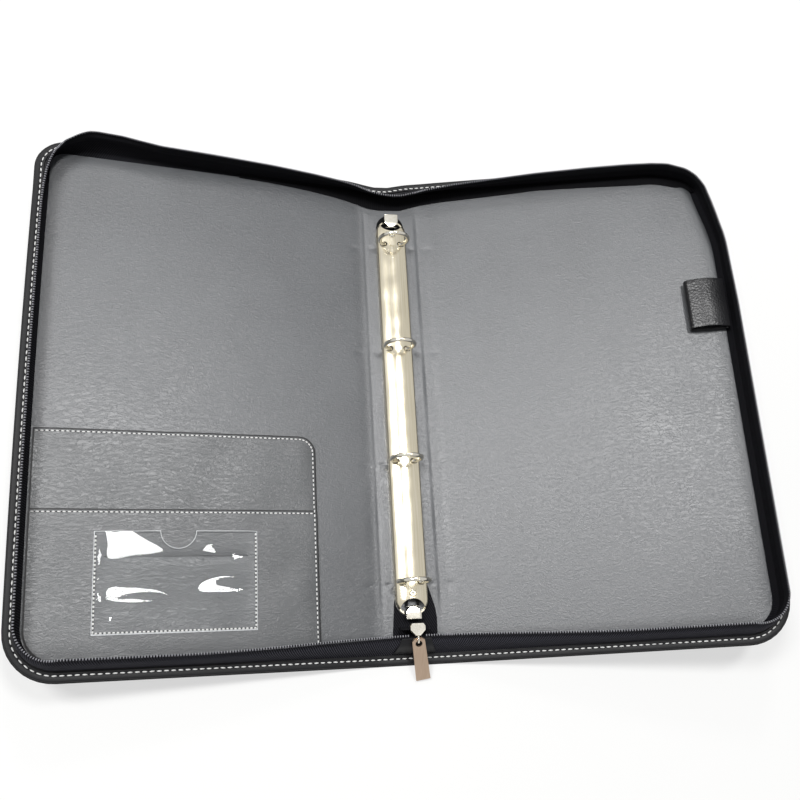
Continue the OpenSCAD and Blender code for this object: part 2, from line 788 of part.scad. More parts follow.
module front_pocket() {
    slit_u = lining_u - pocket_w + window_side + (window_w - slit_w) / 2;
    slit_y = window_foot + window_h - slit_drop - lining_y;
    color("#747578") on_cover(-1)
        translate([0, 0, top_z + pocket_t]) linear_extrude(pocket_t) difference() {
            pocket_outline(front_h, 0.5);
            translate([slit_u, slit_y]) square([slit_w, slit_h]);
        }
}

module card_window() {
    color("#dfe6ea", 0.5) on_cover(-1)
        translate([lining_u - pocket_w + window_side, window_foot - lining_y, top_z + 2 * pocket_t])
            linear_extrude(window_t) difference() {
                square([window_w, window_h]);
                translate([window_w / 2, window_h]) circle(notch_r);
            }
}

// Right cover

module right_skin() {
    color("#2b2b2d") on_cover(1) cover_skin();
}

module right_board() {
    color("#8a6f4d") on_cover(1) cover_board();
}

module right_lining() {
    color("#77787b") on_cover(1) cover_lining();
}

module right_hem() {
    color("#2b2b2d") on_cover(1) cover_hem();
}

module right_tape() {
    color("#15151a") on_cover(1) cover_tape(1);
}

module right_coil() {
    color("#3a3a40") on_cover(1) cover_coil(1);
}

// Section of the pen loop: flat below, with its fold towards the spine
module loop_section(in) {
    r = loop_h / 2;
    translate([r, r]) circle(r - in);
    translate([r, in]) square([loop_w - r - in, loop_h - 2 * in]);
}

module pen_loop() {
    color("#3c3d40") on_cover(1)
        translate([lining_u - loop_w, loop_y + loop_len / 2, top_z])
            rotate([90, 0, 0]) linear_extrude(loop_len) difference() {
                loop_section(0);
                loop_section(loop_t);
            }
}

// Zip slider and pull

// Outline of the slider: two shoulders, and a nose towards the foot
module slider_outline() {
    w = slider_w / 2;
    polygon([
        [-w * 0.75, slider_l], [w * 0.75, slider_l], [w, slider_l - 1.6], [w, slider_l * 0.45],
        [w * 0.3, 0], [-w * 0.3, 0], [-w, slider_l * 0.45], [-w, slider_l - 1.6]
    ]);
}

module slider_body() {
    w = slider_w / 2;
    color("#e8e4d8") translate([0, nose_y, slider_z]) {
        linear_extrude(slider_plate) slider_outline();
        translate([0, 0, slider_h - slider_plate]) linear_extrude(slider_plate) slider_outline();
        linear_extrude(slider_h) polygon([[-w * 0.3, 0], [w * 0.3, 0], [w * 0.2, 2], [-w * 0.2, 2]]);
        linear_extrude(slider_h) polygon([
            [0, slider_l * 0.5], [w * 0.35, slider_l - 1.2], [0, slider_l], [-w * 0.35, slider_l - 1.2]
        ]);
    }
}

module slider_bridge() {
    color("#e8e4d8") intersection() {
        translate([0, pull_y, pull_z]) rotate([0, 90, 0])
            rotate_extrude($fn = 48) translate([bridge_r, 0]) circle(bridge_wire / 2, $fn = 24);
        translate([-bridge_r, pull_y - 2 * bridge_r, pull_z - 2 * bridge_r])
            cube([2 * bridge_r, nose_y - pull_y + 2 * bridge_r, 4 * bridge_r]);
    }
}

module pull_tab() {
    e = eye_bar / 2;
    color("#a08a76") translate([0, pull_y, pull_z]) rotate([pull_rest, 0, 0])
        translate([0, 0, -pull_t / 2]) rotate([0, 0, pull_twist]) linear_extrude(pull_t) difference() {
            polygon([
                [-pull_eye_w / 2 + 1.5, e], [pull_eye_w / 2 - 1.5, e], [pull_eye_w / 2, e - 1.5],
                [pull_w / 2, -pull_l], [-pull_w / 2, -pull_l], [-pull_eye_w / 2, e - 1.5]
            ]);
            translate([0, -e - eye_r]) circle(eye_r);
        }
}

spine_skin();
spine_board();
spine_lining();
spine_hems();
ring_housing();
housing_rivets();
left_blade();
left_rings();
right_blade();
right_rings();
head_trigger();
foot_trigger();
head_tape();
head_coil();
foot_tape();
foot_coil();
foot_patch();
tape_tail();
head_gusset();
left_skin();
left_board();
left_lining();
left_hem();
left_tape();
left_coil();
document_pocket();
front_pocket();
card_window();
right_skin();
right_board();
right_lining();
right_hem();
right_tape();
right_coil();
pen_loop();
slider_body();
slider_bridge();
pull_tab();
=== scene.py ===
"""Looks of a zip-round portfolio case that lies open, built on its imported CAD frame.

The leather, the lining, the zip walls, the pockets and the thread are made here; the ring mechanism, the
slider and its pull are the CAD pieces with finer finishes. Sizes are in millimetres unless a name says metres.
"""

import logging
import math
from dataclasses import dataclass, field
from enum import Enum
from typing import Callable, ClassVar, Dict, List, Optional, Sequence, Tuple

import bmesh
import bpy
from mathutils import Matrix, Vector, noise


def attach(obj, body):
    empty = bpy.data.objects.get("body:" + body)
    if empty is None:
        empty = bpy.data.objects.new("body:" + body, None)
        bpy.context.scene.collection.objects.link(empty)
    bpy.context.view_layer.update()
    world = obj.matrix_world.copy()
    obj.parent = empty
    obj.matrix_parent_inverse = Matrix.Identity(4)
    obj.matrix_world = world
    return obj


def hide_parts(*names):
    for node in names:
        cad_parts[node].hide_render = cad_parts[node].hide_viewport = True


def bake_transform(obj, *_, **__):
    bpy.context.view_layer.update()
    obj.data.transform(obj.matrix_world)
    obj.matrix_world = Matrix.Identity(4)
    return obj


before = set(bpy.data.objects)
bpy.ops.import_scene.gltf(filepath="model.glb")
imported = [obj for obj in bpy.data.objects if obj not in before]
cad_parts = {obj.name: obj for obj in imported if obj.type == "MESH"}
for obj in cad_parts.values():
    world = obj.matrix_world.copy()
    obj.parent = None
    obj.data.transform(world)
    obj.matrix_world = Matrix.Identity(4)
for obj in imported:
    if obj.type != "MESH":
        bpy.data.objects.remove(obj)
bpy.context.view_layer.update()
LOG = logging.getLogger("portfolio_case")
MM = 0.001

Socket = bpy.types.NodeSocket
Tree = bpy.types.NodeTree
Pair = Tuple[float, float]
Triple = Tuple[float, float, float]


# ---- Finishes -------------------------------------------------------------------------------------------


def linear(hex_colour: str) -> Tuple[float, float, float, float]:
    """Turns an sRGB hex colour into linear RGBA.

    Args:
        hex_colour: Six hex digits after a hash sign.

    Returns:
        Linear red, green, blue and an alpha of 1.
    """
    parts = [int(hex_colour[i:i + 2], 16) / 255 for i in (1, 3, 5)]
    lin = [p / 12.92 if p <= 0.04045 else ((p + 0.055) / 1.055) ** 2.4 for p in parts]
    return lin[0], lin[1], lin[2], 1.0


def add(tree: Tree, kind: str, links: Optional[Dict] = None, **settings) -> bpy.types.Node:
    """Adds a node with its settings, values and links.

    Args:
        tree: Node tree that takes the node.
        kind: Blender's name of the node type.
        links: Input names or numbers, each with a socket to link or a value to set.
        **settings: Properties of the node.

    Returns:
        The new node.
    """
    node = tree.nodes.new(kind)
    for key, value in settings.items():
        setattr(node, key, value)
    for key, value in (links or {}).items():
        if isinstance(value, Socket):
            tree.links.new(value, node.inputs[key])
        else:
            node.inputs[key].default_value = value
    return node


@dataclass(frozen=True)
class Finish:
    """A finish that a piece is dressed in."""

    name: str

    def material(self) -> bpy.types.Material:
        """Returns the finish's material, made once."""
        found = bpy.data.materials.get(self.name)
        if found:
            return found
        made = bpy.data.materials.new(self.name)
        made.use_nodes = True
        tree = made.node_tree
        tree.nodes.clear()
        shader = add(tree, "ShaderNodeBsdfPrincipled")
        out = add(tree, "ShaderNodeOutputMaterial", {"Surface": shader.outputs[0]})
        self.dress(tree, shader, out)
        return made

    def dress(self, tree: Tree, shader: bpy.types.Node, out: bpy.types.Node) -> None:
        """Sets the shader up; each kind of finish has its own."""
        raise NotImplementedError


def ramp(tree: Tree, factor: Socket, stops: Sequence[Tuple[float, str]]) -> Socket:
    """Adds a colour ramp and returns its colour.

    Args:
        tree: Node tree that takes the ramp.
        factor: Value that the ramp reads.
        stops: Places from 0 to 1, each with a hex colour.

    Returns:
        The ramp's colour socket.
    """
    node = add(tree, "ShaderNodeValToRGB", {"Fac": factor})
    for i, (place, colour) in enumerate(stops):
        stop = node.color_ramp.elements[i] if i < 2 else node.color_ramp.elements.new(place)
        stop.position, stop.color = place, linear(colour)
    return node.outputs["Color"]


@dataclass(frozen=True)
class Leather(Finish):
    """Calendered imitation leather: a vinyl film with an embossed grain and, where it is soft, fine wrinkles."""

    dark: str
    light: str
    rough: float
    grain_mm: float
    grain_depth: float
    wrinkle_mm: float = 6.0
    wrinkle_depth: float = 0.0
    stretch: float = 0.4
    shine: float = 0.5
    CLOUD_MM: ClassVar[float] = 45.0
    TURN_MM: ClassVar[float] = 90.0

    def dress(self, tree: Tree, shader: bpy.types.Node, out: bpy.types.Node) -> None:
        """Gives grain, wrinkles and soft colour changes."""
        where = add(tree, "ShaderNodeTexCoord").outputs["Object"]
        cloud = add(tree, "ShaderNodeTexNoise", {"Vector": where, "Scale": 1 / (self.CLOUD_MM * MM),
                                                 "Detail": 3.0})
        tree.links.new(ramp(tree, cloud.outputs["Fac"], [(0.3, self.dark), (0.7, self.light)]),
                       shader.inputs["Base Color"])
        # embossed grain
        cells = add(tree, "ShaderNodeTexVoronoi", {"Vector": where, "Scale": 1 / (self.grain_mm * MM)},
                    feature="SMOOTH_F1")
        bump = add(tree, "ShaderNodeBump", {"Height": cells.outputs["Distance"], "Strength": 1.0,
                                            "Distance": self.grain_depth * MM}, invert=True)
        if self.wrinkle_depth:
            # wrinkles run as the ridges of a stretched noise, and change direction from place to place
            turn = add(tree, "ShaderNodeTexNoise", {"Vector": where, "Scale": 1 / (self.TURN_MM * MM),
                                                    "Detail": 1.0})
            bent = add(tree, "ShaderNodeVectorMath", {0: turn.outputs["Color"], 1: (0.02, 0.02, 0.0)},
                       operation="MULTIPLY")
            moved = add(tree, "ShaderNodeVectorMath", {0: where, 1: bent.outputs[0]}, operation="ADD")
            drawn = add(tree, "ShaderNodeMapping", {"Vector": moved.outputs[0],
                                                    "Scale": (self.stretch, 1.0, 1.0),
                                                    "Rotation": (0.0, 0.0, 0.2)})
            folds = add(tree, "ShaderNodeTexNoise", {"Vector": drawn.outputs[0], "Detail": 5.0,
                                                     "Scale": 1 / (self.wrinkle_mm * MM), "Distortion": 0.6,
                                                     "Roughness": 0.62})
            side = add(tree, "ShaderNodeMath", {0: folds.outputs["Fac"], 1: 0.5}, operation="SUBTRACT")
            ridge = add(tree, "ShaderNodeMath", {0: side.outputs[0]}, operation="ABSOLUTE")
            sharp = add(tree, "ShaderNodeMath", {0: ridge.outputs[0], 1: 0.5}, operation="POWER")
            bump = add(tree, "ShaderNodeBump", {"Height": sharp.outputs[0], "Strength": 1.0,
                                                "Distance": self.wrinkle_depth * MM,
                                                "Normal": bump.outputs[0]})
        tree.links.new(bump.outputs[0], shader.inputs["Normal"])
        gloss = add(tree, "ShaderNodeMapRange", {"Value": cloud.outputs["Fac"], "From Min": 0.3, "From Max": 0.7,
                                                 "To Min": self.rough - 0.02, "To Max": self.rough + 0.02})
        tree.links.new(gloss.outputs[0], shader.inputs["Roughness"])
        shader.inputs["IOR"].default_value = 1.5
        shader.inputs["Specular IOR Level"].default_value = self.shine


@dataclass(frozen=True)
class Twill(Finish):
    """Woven polyester zip tape: diagonal ribs of black yarn that catch a little light."""

    dark: str
    light: str
    rib_mm: float
    depth: float
    plain_light: str = ""
    lit_from: float = -0.142
    lit_to: float = -0.164
    YARN_MM: ClassVar[float] = 0.7

    def dress(self, tree: Tree, shader: bpy.types.Node, out: bpy.types.Node) -> None:
        """Draws the ribs along the tape's own flat map, and paints them paler towards the foot: a painted
        highlight where the outer face is lit.
        """
        flat = add(tree, "ShaderNodeUVMap", uv_map="flat").outputs[0]
        turned = add(tree, "ShaderNodeMapping", {"Vector": flat, "Rotation": (0.0, 0.0, math.radians(-30))})
        ribs = add(tree, "ShaderNodeTexWave", {"Vector": turned.outputs[0], "Distortion": 0.4, "Detail": 1.0,
                                               "Scale": math.pi / 10 / (self.rib_mm * MM)}, wave_profile="SIN")
        yarn = add(tree, "ShaderNodeTexNoise", {"Vector": flat, "Scale": 1 / (self.YARN_MM * MM), "Detail": 2.0})
        height = add(tree, "ShaderNodeMath", {0: ribs.outputs["Fac"], 1: yarn.outputs["Fac"]},
                     operation="MULTIPLY")
        colour = ramp(tree, height.outputs[0], [(0.05, self.dark), (0.6, self.light)])
        # towards the foot the ribs take the painted highlight colour; above it they keep the plain twill's light
        # colour
        if self.plain_light:
            where = add(tree, "ShaderNodeTexCoord").outputs["Object"]
            along = add(tree, "ShaderNodeSeparateXYZ", {0: where}).outputs["Y"]
            share = add(tree, "ShaderNodeMapRange", {"Value": along, "From Min": self.lit_from,
                                                     "From Max": self.lit_to})
            plain = ramp(tree, height.outputs[0], [(0.05, self.dark), (0.6, self.plain_light)])
            mixed = add(tree, "ShaderNodeMix", {0: share.outputs[0], 6: plain, 7: colour}, data_type="RGBA")
            colour = mixed.outputs[2]
        tree.links.new(colour, shader.inputs["Base Color"])
        bump = add(tree, "ShaderNodeBump", {"Height": height.outputs[0], "Distance": self.depth * MM})
        tree.links.new(bump.outputs[0], shader.inputs["Normal"])
        shader.inputs["Roughness"].default_value = 0.85
        shader.inputs["Specular IOR Level"].default_value = 0.12


@dataclass(frozen=True)
class PlatedMetal(Finish):
    """Plated steel, polished or brushed along its length, with faint smears that soften its gloss."""

    colour: str
    tint: str
    rough: float
    brush_mm: float
    stretch: Triple = (1.0, 0.02, 1.0)
    depth: float = 0.004
    SMEAR_MM: ClassVar[float] = 12.0

    def dress(self, tree: Tree, shader: bpy.types.Node, out: bpy.types.Node) -> None:
        """Gives smears and a brushed or drawn line."""
        where = add(tree, "ShaderNodeTexCoord").outputs["Object"]
        smear = add(tree, "ShaderNodeTexNoise", {"Vector": where, "Scale": 1 / (self.SMEAR_MM * MM),
                                                 "Detail": 4.0})
        drawn = add(tree, "ShaderNodeMapping", {"Vector": where, "Scale": self.stretch})
        lines = add(tree, "ShaderNodeTexNoise", {"Vector": drawn.outputs[0], "Scale": 1 / (self.brush_mm * MM),
                                                 "Detail": 3.0})
        tree.links.new(ramp(tree, lines.outputs["Fac"], [(0.3, self.colour), (0.72, self.tint)]),
                       shader.inputs["Base Color"])
        gloss = add(tree, "ShaderNodeMapRange", {"Value": smear.outputs["Fac"], "From Min": 0.3, "From Max": 0.75,
                                                 "To Min": self.rough, "To Max": self.rough + 0.1})
        tree.links.new(gloss.outputs[0], shader.inputs["Roughness"])
        bump = add(tree, "ShaderNodeBump", {"Height": lines.outputs["Fac"], "Distance": self.depth * MM})
        tree.links.new(bump.outputs[0], shader.inputs["Normal"])
        shader.inputs["Metallic"].default_value = 1.0


@dataclass(frozen=True)
class Plain(Finish):
    """A plastic, thread or board with a fine mottled surface."""

    dark: str
    light: str
    rough: float
    spot_mm: float
    depth: float
    shine: float = 0.5

    def dress(self, tree: Tree, shader: bpy.types.Node, out: bpy.types.Node) -> None:
        """Gives a mottled colour and a small relief."""
        where = add(tree, "ShaderNodeTexCoord").outputs["Object"]
        spots = add(tree, "ShaderNodeTexNoise", {"Vector": where, "Scale": 1 / (self.spot_mm * MM),
                                                 "Detail": 3.0})
        tree.links.new(ramp(tree, spots.outputs["Fac"], [(0.3, self.dark), (0.7, self.light)]),
                       shader.inputs["Base Color"])
        bump = add(tree, "ShaderNodeBump", {"Height": spots.outputs["Fac"], "Distance": self.depth * MM})
        tree.links.new(bump.outputs[0], shader.inputs["Normal"])
        shader.inputs["Roughness"].default_value = self.rough
        shader.inputs["Specular IOR Level"].default_value = self.shine


@dataclass(frozen=True)
class ClearFilm(Finish):
    """Clear soft vinyl, calendered smooth: it mirrors lamps in long waves and shows what lies under it."""

    tint: str
    ior: float
    HAZE_MM: ClassVar[float] = 20.0

    def dress(self, tree: Tree, shader: bpy.types.Node, out: bpy.types.Node) -> None:
        """Makes glass that lets lamp light through."""
        where = add(tree, "ShaderNodeTexCoord").outputs["Object"]
        haze = add(tree, "ShaderNodeTexNoise", {"Vector": where, "Scale": 1 / (self.HAZE_MM * MM), "Detail": 3.0})
        gloss = add(tree, "ShaderNodeMapRange", {"Value": haze.outputs["Fac"], "From Min": 0.35, "From Max": 0.8,
                                                 "To Min": 0.015, "To Max": 0.06})
        tree.links.new(gloss.outputs[0], shader.inputs["Roughness"])
        shader.inputs["Base Color"].default_value = linear(self.tint)
        shader.inputs["Transmission Weight"].default_value = 1.0
        shader.inputs["IOR"].default_value = self.ior
        path = add(tree, "ShaderNodeLightPath")
        clear = add(tree, "ShaderNodeBsdfTransparent")
        lit = add(tree, "ShaderNodeMath", {0: path.outputs["Is Shadow Ray"], 1: path.outputs["Is Diffuse Ray"]},
                  operation="MAXIMUM")
        bounced = add(tree, "ShaderNodeMath", {0: lit.outputs[0], 1: path.outputs["Is Glossy Ray"]},
                      operation="MAXIMUM")
        mixed = add(tree, "ShaderNodeMixShader",
                    {0: bounced.outputs[0], 1: shader.outputs[0], 2: clear.outputs[0]})
        tree.links.new(mixed.outputs[0], out.inputs["Surface"])


@dataclass(frozen=True)
class StudioFloor(Finish):
    """Matt white board of a photo table: white to the eye, with the object's soft shadow on it."""

    colour: str
    lift: float

    def dress(self, tree: Tree, shader: bpy.types.Node, out: bpy.types.Node) -> None:
        """Lifts the floor towards white for the eye and for mirrors alone."""
        shader.inputs["Base Color"].default_value = linear(self.colour)
        shader.inputs["Roughness"].default_value = 0.95
        path = add(tree, "ShaderNodeLightPath")
        seen = add(tree, "ShaderNodeMath", {0: path.outputs["Is Camera Ray"], 1: path.outputs["Is Glossy Ray"]},
                   operation="MAXIMUM")
        through = add(tree, "ShaderNodeMath", {0: seen.outputs[0], 1: path.outputs["Is Transmission Ray"]},
                      operation="MAXIMUM")
        share = add(tree, "ShaderNodeMath", {0: through.outputs[0], 1: self.lift}, operation="MULTIPLY")
        white = add(tree, "ShaderNodeEmission", {"Color": (1.0, 1.0, 1.0, 1.0), "Strength": 1.0})
        mixed = add(tree, "ShaderNodeMixShader", {0: share.outputs[0], 1: shader.outputs[0], 2: white.outputs[0]})
        tree.links.new(mixed.outputs[0], out.inputs["Surface"])


# Black vinyl leather, embossed with a fine grain: a dark satin that lightens where the light grazes it.
COVER_LEATHER = Leather("black_vinyl_leather", "#101012", "#19191b", 0.48, 0.9, 0.06, shine=0.25)
# Grey-black lining vinyl, soft and thinly backed: a satin that shines where a lamp mirrors in it.
LINING_LEATHER = Leather("satin_lining_vinyl", "#434548", "#4d4f52", 0.37, 0.7, 0.03, 2.0, 0.14, 0.5, 0.95)
# Pocket vinyl is the lining's, with more wrinkles where it was pulled over the seams.
POCKET_LEATHER = Leather("pocket_vinyl", "#404244", "#4c4e50", 0.37, 0.7, 0.025, 1.8, 0.17, 0.4, 0.95)
# Black dye on the pockets' cut edges, also painted shade where their rounded edges turn from the light, and
# painted
# shade in the needle holes: a thin dark line round each pocket.
EDGE_DYE_AND_SHADE = Leather("black_edge_dye_and_shade", "#121214", "#1a1a1c", 0.55, 0.7, 0.02)
# Pebbled vinyl of the pen loop: a coarse glossy grain, drawn at 1.3 mm so that it shows.
LOOP_LEATHER = Leather("pebbled_vinyl_leather", "#151517", "#222224", 0.36, 1.3, 0.22)
# Smooth bonded patch under the slider: a dark, even satin.
PATCH_LEATHER = Leather("smooth_patch_vinyl", "#0e0e10", "#151518", 0.48, 0.5, 0.03, shine=0.3)
# Black polyester twill; real ribs are 0.7 mm apart and are drawn at 1.3 mm so that they show.
TAPE_TWILL = Twill("polyester_twill", "#050507", "#26262b", 1.3, 0.2)
# The same twill on the outer face at the foot, painted paler on its ribs: a painted highlight where that face is
# lit. Towards the corners it fades to the plain twill's light colour.
LIT_FOOT_TWILL = Twill("lit_foot_polyester_twill", "#07070a", "#4c4c55", 1.3, 0.22, "#26262b")
# The tape's doubled end at the head: the same yarn, pressed smooth, and painted near black as painted shade for
# the head wall's shadow on it.
SHADED_HEAD_TWILL = Twill("shaded_head_polyester_twill", "#040406", "#0f0f12", 1.3, 0.06)
# Nylon monofilament coil, drawn and heat-set: glossy dark loops, painted mid-grey as a painted highlight for the
# light they catch, so that they show as a row of fine dots.
COIL_PAINTED_HIGHLIGHT = Plain("nylon_coil_painted_highlight", "#84848a", "#a2a2a8", 0.3, 1.0, 0.01)
# Bonded polyester thread, twisted: matt and nearly white.
THREAD = Plain("polyester_thread", "#dcdcda", "#f2f2f0", 0.7, 0.4, 0.05)
# Bright nickel plate on pressed steel: a warm, cream-coloured satin with faint drawn lines.
NICKEL = PlatedMetal("bright_nickel_plate", "#e2d8be", "#f1e9d4", 0.14, 0.9, depth=0.0015)
# Bright nickel on the rings, levers and slider, a little whiter than the pressed plate.
WIRE_NICKEL = PlatedMetal("polished_nickel_wire", "#e4dfd0", "#f4f0e6", 0.1, 0.8, (1.0, 1.0, 1.0), 0.002)
# Plain rolled spring steel of the blades: a grey metal, duller than the plate that covers it.
BLADE_STEEL = PlatedMetal("rolled_spring_steel", "#8f8a7d", "#a8a294", 0.28, 0.6)
# Near-black painted shade for the inside of the housing's mouths, on the half disc there and on the levers: nearly
# no light comes back from it.
MOUTH_SHADE = Plain("painted_mouth_shade", "#050505", "#0b0b0b", 0.6, 1.0, 0.01, 0.08)
# Satin bronze plate on the pull: a brown metal brushed along its length.
BRONZE = PlatedMetal("satin_bronze_plate", "#c4ab95", "#cfb8a2", 0.3, 0.5, (1.0, 0.06, 0.06), 0.006)
# Grey millboard inside the covers: matt and even, and hidden unless the lining lifts.
BOARD = Plain("grey_millboard", "#5a5a58", "#6a6a68", 0.9, 1.5, 0.05)
# Clear soft vinyl of the card window: bright lamp streaks over what lies under it. Its index is set low, so that
# the pale studio doesn't veil that.
FILM = ClearFilm("clear_soft_vinyl", "#f4f6f7", 1.3)
# The window's welded border, clouded by the heat: a thin pale line.
WELD = Plain("welded_vinyl_border", "#b9bbbd", "#d6d8da", 0.25, 1.0, 0.02)


# ---- Where things lie -----------------------------------------------------------------------------------


class Side(Enum):
    """The two halves of the open case, with the sign of X on each."""

    LEFT = -1
    RIGHT = 1

    @property
    def body(self) -> str:
        """Name of the cover's body."""
        return "left_cover" if self is Side.LEFT else "right_cover"

    @property
    def word(self) -> str:
        """The side's name at the start of a piece's name."""
        return "left" if self is Side.LEFT else "right"

    @property
    def rest(self) -> float:
        """Angle of the cover above the floor, in radians."""
        return math.radians(10.0 if self is Side.LEFT else 13.0)


def ease(t: float) -> float:
    """Smooth step from 0 to 1."""
    c = max(0.0, min(1.0, t))
    return c * c * (3 - 2 * c)


def onset(x: float, run: Pair) -> float:
    """Smooth step from 0 to 1 over a run, given by its start and its length; a negative length runs down."""
    return ease((x - run[0]) / run[1])


def lerp(a: float, b: float, t: float) -> float:
    """Value between a and b at share t."""
    return a + (b - a) * t


def between(table: Sequence[Pair], x: float) -> float:
    """Value at x in a table of places and values, straight between its rows."""
    for (x0, v0), (x1, v1) in zip(table, table[1:]):
        if x <= x1:
            return lerp(v0, v1, max(0.0, (x - x0) / (x1 - x0)))
    return table[-1][1]


def hill(x: float, width: float) -> float:
    """Bell curve of height 1 and a given half width."""
    return math.exp(-(x / width) ** 2)


def bells(table: Sequence[Triple], x: float) -> float:
    """Sum of bell curves at x, each given by its height, its place and its half width."""
    return sum(height * hill(x - at, width) for height, at, width in table)


def ripple(x: float, y: float, size: float, seed: float = 0.0) -> float:
    """Smooth noise from -1 to 1 with waves of a given size."""
    return noise.noise(Vector((x / size, y / size, seed)))


@dataclass(frozen=True)
class CaseSizes:
    """Sizes of the case that every piece shares."""

    half_height: float = 172.5
    cover_width: float = 221.0
    half_spine: float = 22.0
    head_corner: float = 20.0
    foot_corner: float = 29.0
    axis: float = 0.6
    skin: float = 1.2
    edge: float = 2.2
    lining_top: float = 4.0
    lining_inset: float = 10.0
    wall_inset: float = 6.2
    slant: float = 18.8
    bend: float = 6.0
    # how far the zip draws the spine's head edge in, and where
    head_draw: float = 4.3
    draw_middle: float = -5.0
    draw_half: float = 16.0
    draw_run: Pair = (130.0, 42.0)
    # how far the left cover's free edge bows out, and where
    left_bow: float = 1.3
    bow_run: Pair = (150.0, 80.0)
    bow_middle: float = -15.0
    bow_half: float = 150.0
    # how far the right cover's head corner is pulled in and down, and where that sets in along y and s
    corner_in: float = 10.0
    in_along: Pair = (95.0, 70.0)
    in_across: Pair = (120.0, 110.0)
    corner_down: float = 7.0
    down_along: Pair = (100.0, 70.0)
    down_across: Pair = (200.0, 34.0)

    @property
    def lining_corners(self) -> Dict[Tuple[int, int], float]:
        """Radii of the lining's two outer corners, by the signs of x and of y there."""
        return {(1, 1): self.head_corner - self.lining_inset, (1, -1): self.foot_corner - self.lining_inset}


CASE = CaseSizes()


class Fold:
    """Half of the case: the spine from its middle, the crease and one cover at its rest angle."""

    def __init__(self, side: Side) -> None:
        """Works out the crease's bend for one side."""
        self.side = side
        self.angle = side.rest
        self.radius = CASE.bend / math.tan(self.angle / 2)
        self.start = CASE.half_spine - CASE.bend
        self.arc = self.radius * self.angle

    def across(self, u: float) -> float:
        """Distance from the spine's middle of a place u from the crease on the cover."""
        return u - CASE.bend + self.start + self.arc

    @property
    def edge(self) -> float:
        """Distance of the cover's outer edge from the spine's middle."""
        return self.across(CASE.cover_width)

    def point(self, s: float, y: float, h: float) -> Vector:
        """Places a point of the folded sheet.

        Args:
            s: Distance from the spine's middle along the sheet.
            y: Place along the spine.
            h: Height above the sheet's outer face.

        Returns:
            The point in metres.
        """
        if self.side is Side.RIGHT:
            # the zip pulls the right cover's head corner in
            s, y = (s - CASE.corner_in * onset(y, CASE.in_along) * onset(s, CASE.in_across),
                    y - CASE.corner_down * onset(s, CASE.down_across) * onset(y, CASE.down_along))
        n = h - CASE.axis
        if s <= self.start:
            x, z, turn = s, CASE.axis, 0.0
        elif s < self.start + self.arc:
            turn = (s - self.start) / self.radius
            x = self.start + self.radius * math.sin(turn)
            z = CASE.axis + self.radius * (1 - math.cos(turn))
        else:
            u, turn = s - self.start - self.arc + CASE.bend, self.angle
            x, z = CASE.half_spine + u * math.cos(turn), CASE.axis + u * math.sin(turn)
        sign = self.side.value
        # the stiff zip draws the spine's head edge in, and the left cover's free edge bows out a little
        drawn = CASE.head_draw * hill(sign * x - CASE.draw_middle, CASE.draw_half) * onset(y, CASE.draw_run)
        if self.side is Side.LEFT:
            bow = max(0.0, 1 - ((y - CASE.bow_middle) / CASE.bow_half) ** 2)
            x += CASE.left_bow * onset(s, CASE.bow_run) * bow
        return Vector((sign * (x - n * math.sin(turn)), y - drawn, z + n * math.cos(turn))) * MM


@dataclass(frozen=True)
class Station:
    """A place on a line round the case: the place, its outward direction and the zip wall's inward lean."""

    s: float
    y: float
    out_s: float
    out_y: float
    lean: float


@dataclass(frozen=True)
class Leans:
    """Inward lean of the zip wall in degrees, as it stands open."""

    left: Tuple[Pair, ...] = ((0, 33), (8, 30), (24, 24.5), (40, 18), (60, 12), (90, 5.5), (130, 0.5),
                              (165, -2.5), (180, -8.5), (190, -13.5), (206, -16), (211, -14), (216, -6),
                              (223, 8), (229, 15.5), (236, 18.5), (244, 15.5), (250, 9.5), (258, 4), (268, 1),
                              (280, -0.5), (560, -1))
    right: Tuple[Pair, ...] = ((0, 33), (8, 35), (16, 31.5), (32, 26), (50, 20.5), (75, 16), (110, 10), (150, 7),
                               (180, 6.5), (205, 8.5), (214, 5.5), (222, 7.5), (234, 10), (242, 8.5), (250, 2.5),
                               (262, 2.5), (284, 5.5), (300, 4), (320, 2.5), (345, 0.5), (560, 0))
    foot_middle: float = 32.0
    left_foot: float = 15.0
    right_foot: float = 18.0
    foot_dip: float = 150.0

    def side(self, side: Side, d: float) -> float:
        """Lean along the head and the outer edge at a distance d from the spine's middle at the head."""
        return between(self.left if side is Side.LEFT else self.right, d)

    def foot(self, side: Side, s: float) -> float:
        """Lean along the foot at a distance s from the spine's middle."""
        return lerp(self.foot_middle, self.left_foot if side is Side.LEFT else self.right_foot,
                    ease(s / self.foot_dip))


LEANS = Leans()


